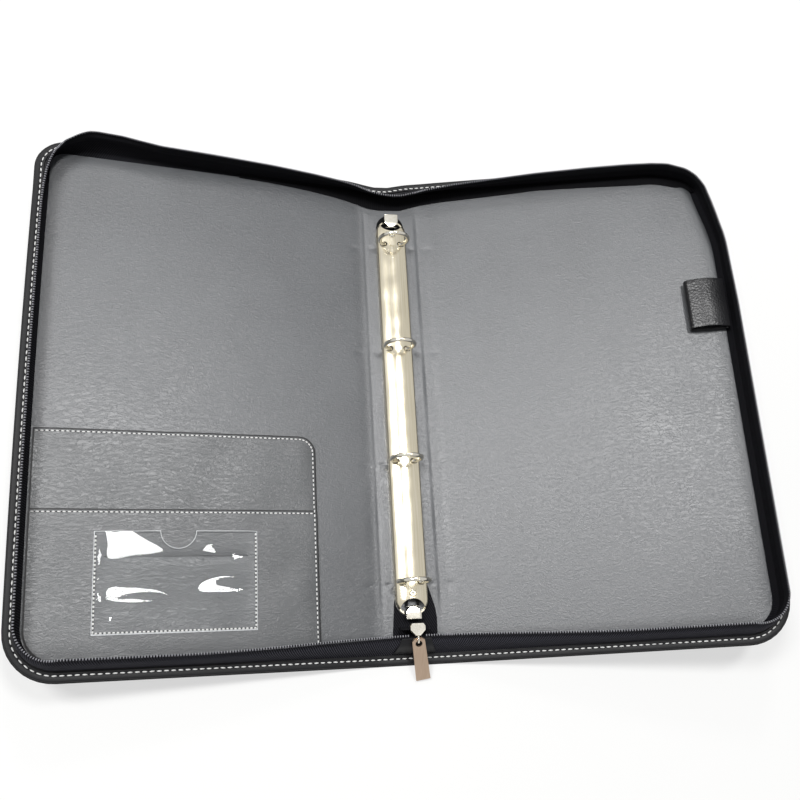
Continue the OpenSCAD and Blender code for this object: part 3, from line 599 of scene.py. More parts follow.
class EdgeLine:
    """A line at one inset from the edge, from the spine's head round a cover to the spine's foot."""

    def __init__(self, fold: Fold, inset: float) -> None:
        """Works out the line's runs and corners."""
        self.fold = fold
        self.w = fold.edge - inset
        self.h = CASE.half_height - inset
        self.rh = CASE.head_corner - inset
        self.rf = CASE.foot_corner - inset
        quarter = math.pi / 2
        self.runs = [self.w - self.rh, self.rh * quarter, 2 * self.h - self.rh - self.rf, self.rf * quarter,
                     self.w - self.rf]
        self.length = sum(self.runs)

    def at(self, d: float) -> Station:
        """Station at a distance d along the line.

        Args:
            d: Distance from the spine's middle at the head.

        Returns:
            The station there.
        """
        side = self.fold.side
        a, b, c, e, _ = self.runs
        lean = LEANS.side(side, min(d, a + b + c))
        if d <= a:
            return Station(d, self.h, 0.0, 1.0, lean)
        d -= a
        if d <= b:
            t = d / b * math.pi / 2
            return Station(self.w - self.rh + self.rh * math.sin(t), self.h - self.rh + self.rh * math.cos(t),
                           math.sin(t), math.cos(t), lean)
        d -= b
        if d <= c:
            return Station(self.w, self.h - self.rh - d, 1.0, 0.0, lean)
        d -= c
        if d <= e:
            t = d / e * math.pi / 2
            return Station(self.w - self.rf + self.rf * math.cos(t), self.rf - self.h - self.rf * math.sin(t),
                           math.cos(t), -math.sin(t), lerp(lean, LEANS.foot(side, self.w - self.rf), d / e))
        s = self.w - self.rf - (d - e)
        return Station(s, -self.h, 0.0, -1.0, LEANS.foot(side, s))

    def wall(self, d: float, out: float, up: float) -> Vector:
        """Point of the zip wall that stands on this line.

        Args:
            d: Distance along the line.
            out: Offset square to the tape, outward.
            up: Distance up along the tape.

        Returns:
            The point in metres.
        """
        st = self.at(d)
        lean = math.radians(st.lean)
        away = out * math.cos(lean) - up * math.sin(lean)
        rise = up * math.cos(lean) + out * math.sin(lean)
        return self.fold.point(st.s + st.out_s * away, st.y + st.out_y * away, CASE.skin + rise)


# ---- Making meshes --------------------------------------------------------------------------------------


def piece(bm: bmesh.types.BMesh, name: str, finish: Finish, sharp: float = 40.0,
          rim: Optional[Finish] = None) -> bpy.types.Object:
    """Makes an object of a finished bmesh.

    Args:
        bm: The mesh, in metres and in place; it is freed.
        name: Name of the piece.
        finish: What it is dressed in.
        sharp: Angle in degrees above which an edge stays sharp.
        rim: What its faces of material 1 are dressed in.

    Returns:
        The new object.
    """
    if bm.calc_volume(signed=True) < 0:
        bmesh.ops.reverse_faces(bm, faces=bm.faces)
    for face in bm.faces:
        face.smooth = True
    for edge in bm.edges:
        edge.smooth = edge.calc_face_angle(0.0) < math.radians(sharp)
    mesh = bpy.data.meshes.new(name)
    bm.to_mesh(mesh)
    bm.free()
    for worn in (finish, rim) if rim else (finish,):
        mesh.materials.append(worn.material())
    made = bpy.data.objects.new(name, mesh)
    bpy.context.scene.collection.objects.link(made)
    LOG.info("%s: %d faces", name, len(mesh.polygons))
    return made


def cut_grid(bm: bmesh.types.BMesh, xs: Sequence[float], ys: Sequence[float]) -> None:
    """Cuts a flat mesh along lines of constant x and of constant y.

    Args:
        bm: The mesh to cut.
        xs: Places of the cuts across.
        ys: Places of the cuts along.
    """
    for axis, cuts in (((1.0, 0.0, 0.0), xs), ((0.0, 1.0, 0.0), ys)):
        for c in cuts:
            bmesh.ops.bisect_plane(bm, geom=[*bm.verts, *bm.edges, *bm.faces], dist=1e-6,
                                   plane_co=[c * v for v in axis], plane_no=axis)


def spread(start: float, end: float, step: float) -> List[float]:
    """Places strictly between start and end, evenly spread about one step apart."""
    n = max(1, round((end - start) / step))
    return [lerp(start, end, i / n) for i in range(1, n)]


def panel(low: Pair, high: Pair, corners: Dict[Tuple[int, int], float]) -> bmesh.types.BMesh:
    """Makes a flat panel with some of its corners rounded.

    Args:
        low: Lowest x and y.
        high: Highest x and y.
        corners: Radius of each rounded corner, by the sign of x and of y there.

    Returns:
        A bmesh with one face in the XY plane.
    """
    bm = bmesh.new()
    verts = {}
    for key in ((-1, -1), (1, -1), (1, 1), (-1, 1)):
        verts[key] = bm.verts.new((high[0] if key[0] > 0 else low[0], high[1] if key[1] > 0 else low[1], 0.0))
    bm.faces.new(list(verts.values()))
    for key, radius in corners.items():
        bmesh.ops.bevel(bm, geom=[verts[key]], offset=radius, offset_type="OFFSET", affect="VERTICES",
                        segments=10, profile=0.5, material=-1)
    return bm


def shape(bm: bmesh.types.BMesh, move: Callable[[float, float, float], Vector]) -> None:
    """Moves every vertex of a mesh by a rule.

    Args:
        bm: The mesh, drawn flat in millimetres.
        move: Gives the place in metres for a flat x, y and z.
    """
    for v in bm.verts:
        v.co = move(*v.co)


def thicken(bm: bmesh.types.BMesh, thickness: float) -> None:
    """Gives an open sheet, in metres, a thickness in millimetres to its underside."""
    bmesh.ops.solidify(bm, geom=list(bm.faces), thickness=thickness * MM)


def soften(bm: bmesh.types.BMesh, width: float = 0.25) -> None:
    """Rounds the sharp edges of a closed sheet, in metres, over a width in millimetres."""
    edges = [e for e in bm.edges if e.calc_face_angle(0.0) > math.radians(60)]
    bmesh.ops.bevel(bm, geom=edges, offset=width * MM, affect="EDGES", segments=2, profile=0.5, material=-1)


def face_up(bm: bmesh.types.BMesh) -> None:
    """Turns an open sheet's faces so that most of them look up."""
    bmesh.ops.recalc_face_normals(bm, faces=bm.faces)
    bm.normal_update()
    if sum(f.normal.z * f.calc_area() for f in bm.faces) < 0:
        bmesh.ops.reverse_faces(bm, faces=bm.faces)


def carry(bm: bmesh.types.BMesh, grown: Dict, way: Triple) -> None:
    """Moves the vertices that an extrusion made.

    Args:
        bm: The mesh.
        grown: What the extrusion gave back.
        way: The move, in the mesh's own unit.
    """
    moved = [g for g in grown["geom"] if isinstance(g, bmesh.types.BMVert)]
    bmesh.ops.translate(bm, verts=moved, vec=way)


def sweep(bm: bmesh.types.BMesh, first: bmesh.types.BMVert, **turn) -> bmesh.types.BMVert:
    """Draws an arc from a vertex.

    Args:
        bm: The mesh.
        first: Vertex at the arc's start.
        **turn: The spin's middle, axis, angle and steps.

    Returns:
        The vertex at the arc's end.
    """
    spun = bmesh.ops.spin(bm, geom=[first], **turn)
    return next(g for g in spun["geom_last"] if isinstance(g, bmesh.types.BMVert))


def mark_rim(bm: bmesh.types.BMesh, width: float) -> None:
    """Insets a flat face by a width in millimetres and gives the border the piece's second finish."""
    for face in bmesh.ops.inset_region(bm, faces=bm.faces[:], thickness=width, use_boundary=True,
                                       use_even_offset=True)["faces"]:
        face.material_index = 1


def outline(points: Sequence[Pair], arc: Tuple[Pair, Pair, float, int]) -> bmesh.types.BMesh:
    """Makes a flat n-sided face from an arc and the points that lead from its end back to its start.

    Args:
        points: Places from the arc's end to its start.
        arc: The arc's start, its middle, its angle and its steps.

    Returns:
        A bmesh with one face in the XY plane and a flat map in metres.
    """
    start, centre, angle, steps = arc
    bm = bmesh.new()
    first = bm.verts.new((*start, 0.0))
    last = sweep(bm, first, cent=(*centre, 0.0), axis=(0.0, 0.0, 1.0), angle=angle, steps=steps)
    chain = [bm.verts.new((*p, 0.0)) for p in points]
    for v, w in zip([last, *chain], [*chain, first]):
        bm.edges.new((v, w))
    bmesh.ops.contextual_create(bm, geom=list(bm.edges))
    flat = bm.loops.layers.uv.new("flat")
    for face in bm.faces:
        for loop in face.loops:
            loop[flat].uv = loop.vert.co.xy * MM
    return bm


def strip(long_cuts: int, cross: Sequence[Pair], length: float,
          move: Callable[[float, float, float], Vector]) -> bmesh.types.BMesh:
    """Makes a strip from a grid, with a flat map in metres for woven patterns.

    Args:
        long_cuts: Faces along the strip.
        cross: Out and up offsets across the strip.
        length: Length of the strip.
        move: Gives the place in metres for a distance along, an out and an up offset.

    Returns:
        The open strip.
    """
    bm = bmesh.new()
    rows = len(cross) - 1
    bmesh.ops.create_grid(bm, x_segments=long_cuts, y_segments=rows, size=0.5)
    reach = [0.0]
    for (a, b), (c, d) in zip(cross, cross[1:]):
        reach.append(reach[-1] + math.hypot(c - a, d - b))
    flat = bm.loops.layers.uv.new("flat")
    for face in bm.faces:
        for loop in face.loops:
            row = round((loop.vert.co.y + 0.5) * rows)
            loop[flat].uv = ((loop.vert.co.x + 0.5) * length * MM, reach[row] * MM)
    for v in bm.verts:
        out, up = cross[round((v.co.y + 0.5) * rows)]
        v.co = move((v.co.x + 0.5) * length, out, up)
    return bm


def bead(bm: bmesh.types.BMesh, middle: Vector, along: Vector, over: Vector, sizes: Triple,
         turns: Tuple[int, int] = (6, 5)) -> None:
    """Adds one stretched bead, such as a stitch or a loop of the coil.

    Args:
        bm: Mesh that takes the bead.
        middle: Its middle, in metres.
        along: Direction of its first size.
        over: Roughly the direction of its third size.
        sizes: Half sizes along, across and over, in millimetres.
        turns: Faces round it and from end to end.
    """
    x = along.normalized()
    y = over.cross(x).normalized()
    z = x.cross(y)
    # the poles lie at the ends of the bead's long axis
    turn = Matrix((y * sizes[1] * MM, z * sizes[2] * MM, x * sizes[0] * MM)).transposed().to_4x4()
    turn.translation = middle
    grain = bmesh.new()
    bmesh.ops.create_uvsphere(grain, u_segments=turns[0], v_segments=turns[1], radius=1.0, matrix=turn)
    scratch = bpy.data.meshes.new("bead")
    grain.to_mesh(scratch)
    grain.free()
    bm.from_mesh(scratch)
    bpy.data.meshes.remove(scratch)


# where the bend across a crease starts on the cover and ends on the spine, in metres from the spine's middle
BEND_START, BEND_END = 0.034, 0.010


def bind(made: bpy.types.Object, side: Side) -> bpy.types.Object:
    """Bakes the placement of a piece that crosses a crease between its cover and the spine."""
    x = side.value
    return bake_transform(made, side.body, "spine", start=(x * BEND_START, 0.0, 0.0), end=(x * BEND_END, 0.0, 0.0))


# ---- Sub-assemblies -------------------------------------------------------------------------------------


@dataclass
class OuterLeather:
    """Half of the outer leather, with its turned and sewn edge."""

    side: Side
    stitch_in: float = 3.6
    groove: float = 0.25
    hem: float = 5.2
    stitch: float = 4.1
    stitch_len: float = 1.45
    thread: float = 0.45
    thread_lay: float = 0.16
    past_middle: float = 40.0
    rounding: float = 0.75
    sway: float = 0.35
    crease_dent: float = 0.45
    fold: Fold = field(init=False)

    def __post_init__(self) -> None:
        """Finds the fold of this side."""
        self.fold = Fold(self.side)

    def build(self) -> None:
        """Builds the leather and its seams."""
        self.leather()
        for name, height in (("edge_stitches", CASE.edge - 0.12), ("outer_stitches", 0.1)):
            self.seam(f"{self.side.word}_{name}", height)

    def leather(self) -> None:
        """Makes the leather with a rounded edge and a shallow groove for the seam."""
        h, w = CASE.half_height, self.fold.edge
        bm = panel((-self.past_middle, -h), (w, h), {(1, 1): CASE.head_corner, (1, -1): CASE.foot_corner})
        bmesh.ops.recalc_face_normals(bm, faces=bm.faces)
        if bm.faces[:][0].normal.z < 0:
            bmesh.ops.reverse_faces(bm, faces=bm.faces)
        base = bm.faces[:]
        grown = bmesh.ops.extrude_face_region(bm, geom=base, use_keep_orig=True)
        carry(bm, grown, (0.0, 0.0, CASE.edge))
        bmesh.ops.reverse_faces(bm, faces=base)
        top = [g for g in grown["geom"] if isinstance(g, bmesh.types.BMFace)]
        rim = {e for f in (*base, *top) for e in f.edges}
        for wide, deep in ((self.stitch_in - 0.6, 0.0), (0.6, -self.groove), (0.6, self.groove),
                           (self.hem - self.stitch_in - 0.6, 0.0), (0.3, CASE.skin - CASE.edge)):
            bmesh.ops.inset_region(bm, faces=top, thickness=wide, depth=deep, use_even_offset=True)
        bmesh.ops.bevel(bm, geom=list(rim), offset=self.rounding, affect="EDGES", segments=3, profile=0.5,
                        material=-1)
        bmesh.ops.bisect_plane(bm, geom=[*bm.verts, *bm.edges, *bm.faces], dist=1e-6, plane_co=(0.0, 0.0, 0.0),
                               plane_no=(1.0, 0.0, 0.0), clear_inner=True)
        bmesh.ops.contextual_create(bm, geom=[e for e in bm.edges if e.is_boundary])
        cut_grid(bm, [*spread(8.0, 38.0, 1.5), *spread(38.0, w, 9.0)], spread(-h, h, 9.0))
        seed = 3.0 + self.side.value

        def move(s: float, y: float, z: float) -> Vector:
            near = max(abs(y) / h, s / w)
            sway = self.sway * ripple(s, y, 45.0, seed) * ease((near - 0.8) * 5) * ease((s - 30) / 30)
            dent = self.crease_dent * hill(s - CASE.half_spine, 2.5) if z < 0.5 else 0.0
            return self.fold.point(s, y, z + sway + dent)

        shape(bm, move)
        made = bind(piece(bm, f"{self.side.word}_outer_leather", COVER_LEATHER), self.side)
        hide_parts(f"{self.side.word}_skin", f"{self.side.word}_hem", "spine_skin", "spine_hems")

    def seam(self, name: str, height: float) -> None:
        """Sews one face of the edge.

        Args:
            name: Name of the piece.
            height: Height of the thread above the outer face.
        """
        line = EdgeLine(self.fold, self.stitch_in)
        count = round(line.length / self.stitch)
        bm = bmesh.new()
        for i in range(count):
            st = line.at((i + 0.5) * line.length / count)
            lay = self.thread_lay * ripple(i * 7.3, height, 1.0)
            here = self.fold.point(st.s, st.y, height)
            out = self.fold.point(st.s + st.out_s, st.y + st.out_y, height) - here
            up = self.fold.point(st.s, st.y, height + 1.0) - here
            along = out.cross(up).normalized() + lay * out.normalized()
            bead(bm, here, along, up, (self.stitch_len, self.thread, self.thread * 0.8))
        bind(piece(bm, name, THREAD), self.side)


@dataclass
class Lining:
    """Half of the lining, glued over the boards and drawn down into the crease."""

    side: Side
    thick: float = 0.8
    left_inset: float = 9.0
    right_inset: float = 11.6
    ring_rows: Tuple[float, ...] = (118.06, 38.06, -41.94, -121.94)
    # depth, place and half width of the folds in each crease, and of the marks beside each ring
    left_creases: Tuple[Triple, ...] = ((0.45, 18.8, 1.3), (0.35, 22.0, 4.0))
    right_creases: Tuple[Triple, ...] = ((0.4, 20.0, 1.7), (0.35, 23.5, 4.0), (-0.1, 17.3, 1.4))
    ring_marks: Tuple[Triple, ...] = ((0.35, 14.5, 2.2), (0.22, 27.0, 3.5))
    crease_foot: Pair = (-152.0, 24.0)
    crease_head: Pair = (150.0, -12.0)
    # height and size of the waves
    waves: Tuple[Pair, Pair] = ((0.1, 60.0), (0.03, 16.0))
    rim_drop: float = 0.5
    rim_width: float = 2.5
    fold: Fold = field(init=False)

    def __post_init__(self) -> None:
        """Finds the fold of this side."""
        self.fold = Fold(self.side)

    def build(self) -> None:
        """Makes the lining with its crease, its waves and the marks that the rings left."""
        h = CASE.half_height - CASE.lining_inset
        left = self.side is Side.LEFT
        w = self.fold.edge - (self.left_inset if left else self.right_inset)
        bm = panel((0.0, -h), (w, h), CASE.lining_corners)
        near_rings = (r + d for r in self.ring_rows for d in (-2.4, -1.2, 0.0, 1.2, 2.4))
        rows = sorted({*spread(-h, h, 5.0), *near_rings})
        cut_grid(bm, [*spread(0.0, 40.0, 0.8), *spread(40.0, w, 5.0), 40.0], rows)
        seed = 11.0 * self.side.value
        creases = self.left_creases if left else self.right_creases
        (long_rise, long_size), (short_rise, short_size) = self.waves

        def move(s: float, y: float, z: float) -> Vector:
            crease = bells(creases, s)
            crease *= (onset(y, self.crease_foot) * onset(y, self.crease_head)
                       * (0.7 + 0.45 * ripple(0.0, y, 33.0, seed)))
            rim = sum(self.rim_drop * ease(1 - gap / self.rim_width) for gap in (w - s, h - abs(y)))
            wave = long_rise * ripple(s, y, long_size, seed) + short_rise * ripple(s, y, short_size, seed + 5)
            wave *= ease((s - 10) / 12)
            marks = sum(hill(y - r + 1.0, 1.5) * bells(self.ring_marks, s) for r in self.ring_rows)
            return self.fold.point(s, y, CASE.lining_top - crease - rim + wave - marks)

        shape(bm, move)
        thicken(bm, self.thick)
        made = bind(piece(bm, f"{self.side.word}_lining_sheet", LINING_LEATHER), self.side)
        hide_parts(f"{self.side.word}_lining", "spine_lining")


@dataclass
class ZipWall:
    """Half of the zip: the woven wall, its sewn flange and the coil along its top."""

    side: Side
    tape: float = 0.9
    left_flange: float = 3.6
    right_flange: float = 6.0
    faces_along: int = 300
    sway: float = 0.5
    lit_below: float = -0.142
    pitch: float = 1.65
    loop: Triple = (0.7, 0.4, 0.72)
    loop_lift: float = 1.05
    core: Pair = (0.48, 0.5)
    core_drop: float = 0.25
    slider_room: float = 5.0
    line: EdgeLine = field(init=False)
    # where the wall leaves its flange, how far it bellies out and how far it tucks in under the coil
    FOOT: ClassVar[float] = 2.6
    BELLY: ClassVar[float] = 0.7
    TUCK: ClassVar[float] = 1.3

    def __post_init__(self) -> None:
        """Lays the line that the wall stands on."""
        self.line = EdgeLine(Fold(self.side), CASE.wall_inset)

    @classmethod
    def bulge(cls, up: float) -> float:
        """How far out the tape's middle lies at a distance up along it: full below, tucked in under the coil."""
        t = (up - cls.FOOT) / (CASE.slant - cls.FOOT)
        return cls.BELLY * math.sin(math.pi * min(1.0, max(0.0, t / 0.75))) - cls.TUCK * hill(t - 0.8, 0.13)

    def build(self) -> None:
        """Builds the tape and the coil."""
        self.wall()
        self.coil()

    def wall(self) -> None:
        """Weaves the wall, from the flange up to the coil."""
        half = self.tape / 2
        flange = self.left_flange if self.side is Side.LEFT else self.right_flange
        # the flange's section, from its inner edge to the foot of the wall
        cross = [(-flange, 0.45), (-2.0, 0.45), (-0.9, 0.55), (-0.35 + half, 0.9), (-0.1 + half, 1.7)]
        heights = [lerp(self.FOOT, CASE.slant, i / 12) for i in range(13)]
        cross += [(half + self.bulge(up), up) for up in heights]
        seed = 20.0 + self.side.value

        def move(d: float, out: float, up: float) -> Vector:
            if up < 2:
                # the flange lies flat inside the wall
                st = self.line.at(d)
                flat = self.line.fold.point(st.s + st.out_s * out, st.y + st.out_y * out, CASE.skin + up)
                if up < 0.6:
                    return flat
                return flat.lerp(self.line.wall(d, out, up), ease((up - 0.4) / 1.4))
            t = (up - 2) / (CASE.slant - 2)
            sway = self.sway * ripple(d, 0.0, 38.0, seed) * math.sin(math.pi * t * 0.8)
            return self.line.wall(d, out + sway, up)

        bm = strip(self.faces_along, cross, self.line.length, move)
        if self.side is Side.RIGHT:
            bmesh.ops.reverse_faces(bm, faces=bm.faces)
        thicken(bm, self.tape)
        bm.normal_update()
        # faces near the foot that look towards it take the paler twill: a painted highlight where the outer face
        # is lit
        for face in bm.faces:
            if face.normal.y < -0.02 and face.calc_center_median().y < self.lit_below:
                face.material_index = 1
        made = bind(piece(bm, f"{self.side.word}_zip_wall", TAPE_TWILL, rim=LIT_FOOT_TWILL), self.side)
        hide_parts(f"{self.side.word}_tape", "head_tape", "foot_tape")

    def coil(self) -> None:
        """Winds the coil: a row of loops over a cord, open at the slider."""
        bm = bmesh.new()
        end = self.line.length - self.slider_room
        count = round(end / self.pitch)
        middle = CASE.slant + self.loop_lift
        for i in range(count):
            d = (i + 0.5) * end / count
            here = self.line.wall(d, 0.0, middle)
            out = self.line.wall(d, 1.0, middle) - here
            up = self.line.wall(d, 0.0, middle + 1.0) - here
            bead(bm, here, out, up, self.loop, (8, 6))
        made = bind(piece(bm, f"{self.side.word}_zip_coil", COIL_PAINTED_HIGHLIGHT, 80.0), self.side)
        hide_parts(f"{self.side.word}_coil", "head_coil", "foot_coil")
        wide, tall = self.core
        ring = [(wide * math.cos(a), middle - self.core_drop + tall * math.sin(a))
                for a in (i * math.pi / 4 for i in range(9))]
        cord = strip(self.faces_along, ring, end, self.line.wall)
        bmesh.ops.remove_doubles(cord, verts=cord.verts, dist=1e-6)
        bmesh.ops.holes_fill(cord, edges=[e for e in cord.edges if e.is_boundary])
        bmesh.ops.recalc_face_normals(cord, faces=cord.faces)
        core = bind(piece(cord, f"{self.side.word}_zip_cord", TAPE_TWILL), self.side)


@dataclass
class Pockets:
    """The two pockets on the left cover, with the card slit, the clear window and their seams."""

    inner: float = 39.0
    outer: float = 211.0
    foot: float = -162.5
    height: float = 137.0
    radius: float = 11.0
    front_height: float = 88.0
    thick: float = 0.9
    slit: Tuple[float, float, float, float] = (84.5, 168.5, -104.0, -103.0)
    window: Tuple[float, float, float, float] = (78.5, 174.5, -148.0, -88.0)
    notch: float = 10.5
    dark_rim: float = 1.0
    weld: float = 0.35
    bottom_weld: float = 1.1
    # rise, place and half width across, place and half width along, and skew of each bulge of the film
    bulges: Tuple[Tuple[float, ...], ...] = (
        (1.45, 147.0, 24.0, -131.5, 6.5, 0.04), (2.9, 80.0, 30.0, -126.0, 9.0, -0.02),
        (0.8, 104.3, 6.3, -102.0, 4.8, 0.0), (1.5, 84.5, 13.0, -106.0, 6.5, 0.0),
        (1.0, 112.5, 5.5, -144.3, 2.6, 0.0), (0.9, 164.5, 3.5, -141.0, 2.2, 0.0))
    film_thick: float = 0.3
    film_gap: float = 0.35
    pocket_pitch: float = 2.9
    window_pitch: float = 2.4
    pocket_thread: float = 0.44
    window_thread: float = 0.62
    seam_in: float = 2.0
    thread_share: float = 0.34
    hole_share: float = 0.2
    hole: Pair = (0.5, 0.16)
    # how the leather stands off the lining: height and size of its waves, lift at the mouth, pinch at the seams
    stand_off: float = 0.35
    waves: Tuple[Pair, Pair] = ((0.5, 34.0), (0.15, 12.0))
    mouth_lift: float = 0.45
    mouth_depth: float = 20.0
    pinch: float = 9.0
    edge_drop: float = 0.2
    edge_width: float = 1.6
    slit_sag: float = 0.4
    # depth, place and half width across, place and half width along, slant and the slant's zero of each dent
    dents: Tuple[Tuple[float, ...], ...] = ((1.5, 206.0, 4.5, -46.0, 12.0, 0.45, -44.0),
                                            (0.9, 204.0, 6.0, -92.0, 12.0, 0.0, 0.0))
    # the film's height between its seams, and the slanting droop at its free edge
    film_seam: float = 7.0
    film_free: float = 0.8
    film_tilt: float = 0.022
    film_wave: float = 0.02
    film_droop: float = 1.15
    droop_along: Pair = (-106.0, 20.0)
    droop_at: Pair = (121.0, -103.0)
    droop_slant: float = 1.35
    droop_length: float = 12.0
    fold: Fold = field(init=False)

    def __post_init__(self) -> None:
        """Finds the left cover's fold."""
        self.fold = Fold(Side.LEFT)

    def swell(self, u: float, y: float) -> float:
        """Height by which the pocket leather stands off, at a place on the cover."""
        top = self.foot + self.height
        (long_rise, long_size), (short_rise, short_size) = self.waves
        lift = self.mouth_lift * ease(1 - (top - y) / self.mouth_depth)
        lift = lift + long_rise * ripple(u, y, long_size, 2.0) + short_rise * ripple(u, y, short_size, 6.0)
        pinch = min(ease(gap / self.pinch) for gap in (u - self.inner, self.outer - u, y - self.foot))
        dent = sum(deep * hill(u - at_u - (y - zero) * slant, wide) * hill(y - at_y, tall)
                   for deep, at_u, wide, at_y, tall, slant, zero in self.dents)
        return max(0.0, self.stand_off + lift) * pinch - dent * pinch

    def on_cover(self, u: float, y: float, h: float) -> Vector:
        """Places a point of the left cover."""
        return self.fold.point(self.fold.across(u), y, h)

    def build(self) -> None:
        """Builds the pockets from the lining up."""
        self.layer("document_pocket_leather", "document_pocket", self.height, self.radius, 0.0, False)
        self.layer("front_pocket_leather", "front_pocket", self.front_height, 1.0, self.thick, True)
        self.film()
        self.seams()

    def layer(self, name: str, node: str, height: float, radius: float, base: float, slit: bool) -> None:
        """Makes one pocket layer.

        Args:
            name: Name of the piece.
            node: CAD node that it stands for.
            height: Height of the pocket above the lining's foot.
            radius: Radius of its upper inner corner.
            base: Height of its underside above the lining.
            slit: Whether it has the card slit.
        """
        top = self.foot + height
        bm = panel((self.inner, self.foot), (self.outer, top),
                   {(-1, 1): radius, (1, -1): CASE.lining_corners[1, -1]})
        # the band along the cut edge takes the dark rim: black edge dye, and painted shade where the edge turns
        # from the light
        mark_rim(bm, self.dark_rim)
        us, ys = spread(self.inner, self.outer, 4.0), spread(self.foot, top, 4.0)
        if slit:
            us, ys = sorted({*us, *self.slit[:2]}), sorted({*ys, *self.slit[2:]})
        cut_grid(bm, us, ys)
        if slit:
            a, b, c, d = self.slit
            gone = [f for f in bm.faces if a < f.calc_center_median().x < b and c < f.calc_center_median().y < d]
            bmesh.ops.delete(bm, geom=gone, context="FACES")
        lift = CASE.lining_top + base + self.thick

        def move(u: float, y: float, z: float) -> Vector:
            edge = sum(self.edge_drop * ease(1 - gap / self.edge_width) for gap in (top - y, u - self.inner))
            over_slit = slit and self.slit[0] < u < self.slit[1]
            lip = -self.slit_sag * hill(y - self.slit[2], 2.2) if over_slit else 0.0
            return self.on_cover(u, y, lift + self.swell(u, y) - edge + lip)

        shape(bm, move)
        thicken(bm, self.thick)
        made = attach(piece(bm, name, POCKET_LEATHER, rim=EDGE_DYE_AND_SHADE), "left_cover")
        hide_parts(node)

    def film_height(self, u: float, y: float) -> float:
        """Height of the window's film, which droops at its free edge and bulges a little between its seams."""
        a, b, c, _ = self.window
        held = min(ease(gap / self.film_seam) for gap in (u - a, b - u, y - c))
        low = CASE.lining_top + 2 * self.thick + self.film_gap
        past = u - self.droop_at[0] - self.droop_slant * (y - self.droop_at[1])
        droop = self.film_droop * onset(y, self.droop_along) * ease(past / self.droop_length)
        bulges = sum(rise * hill(u - at_u, wide) * hill(y - at_y - skew * (u - at_u), tall)
                     for rise, at_u, wide, at_y, tall, skew in self.bulges)
        free = self.film_free + self.film_tilt * (y - c) + bulges - droop
        free += self.film_wave * ripple(u, y, 9.0, 8.0)
        return low + lerp(min(0.6, self.swell(u, y)), free, held)

    def film(self) -> None:
        """Makes the clear window with its thumb notch and its welded border."""
        a, b, c, d = self.window
        mid = (a + b) / 2
        bm = outline([(b, d), (b, c), (a, c), (a, d)], ((mid - self.notch, d), (mid, d), math.pi, 14))
        mark_rim(bm, self.weld)
        cut_grid(bm, spread(a, b, 1.6), [*spread(c, d, 1.6), c + self.bottom_weld])
        for face in bm.faces:
            if face.calc_center_median().y < c + self.bottom_weld:
                face.material_index = 1
        shape(bm, lambda u, y, z: self.on_cover(u, y, self.film_height(u, y)))
        face_up(bm)
        thicken(bm, self.film_thick)
        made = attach(piece(bm, "card_window_film", FILM, rim=WELD), "left_cover")
        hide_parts("card_window")

    def seams(self) -> None:
        """Sews the pockets and the window."""
        top, front = self.foot + self.height, self.foot + self.front_height
        a, b, c, d = self.window
        inset = self.seam_in
        r = self.radius - inset
        corner = [(self.inner + self.radius - r * math.sin(t), top - self.radius + r * math.cos(t))
                  for t in (i * math.pi / 12 for i in range(7))]
        runs = {
            "pocket_stitches": ([(self.outer - 1.5, top - inset), *corner, (self.inner + inset, self.foot + 1.0)],
                                0.0, self.pocket_pitch),
            "front_pocket_stitches": ([(self.outer - 1.5, front - inset), (self.inner + inset, front - inset)],
                                      self.thick, self.pocket_pitch),
            "window_stitches": ([(a + 1.0, d - 1.5), (a + 1.0, c + 1.2), (b - 1.0, c + 1.2), (b - 1.0, d - 1.5)],
                                1.0, self.window_pitch),
        }
        for name, (line, base, pitch) in runs.items():
            thread, holes = bmesh.new(), bmesh.new()
            wide = self.window_thread if name == "window_stitches" else self.pocket_thread
            for (u0, y0), (u1, y1) in zip(line, line[1:]):
                count = max(1, round(math.hypot(u1 - u0, y1 - y0) / pitch))
                for i in range(2 * count):
                    t = (i + 0.5) / count / 2
                    u, y = lerp(u0, u1, t), lerp(y0, y1, t)
                    if name == "window_stitches":
                        h = self.film_height(u, y) + 0.12
                    else:
                        h = CASE.lining_top + base + self.thick + self.swell(u, y)
                        h += self.thick if base == 0.0 and y < front else 0.0
                    here = self.on_cover(u, y, h)
                    along = self.on_cover(u + (u1 - u0) * 0.01, y + (y1 - y0) * 0.01, h) - here
                    up = self.on_cover(u, y, h + 1.0) - here
                    if i % 2:
                        bead(holes, here, along, up, (pitch * self.hole_share, *self.hole))
                    else:
                        bead(thread, here, along, up, (pitch * self.thread_share, wide, wide * 0.75))
            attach(piece(thread, name, THREAD), "left_cover")
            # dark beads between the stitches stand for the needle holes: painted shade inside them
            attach(piece(holes, f"{name[:-8]}needle_holes", EDGE_DYE_AND_SHADE), "left_cover")


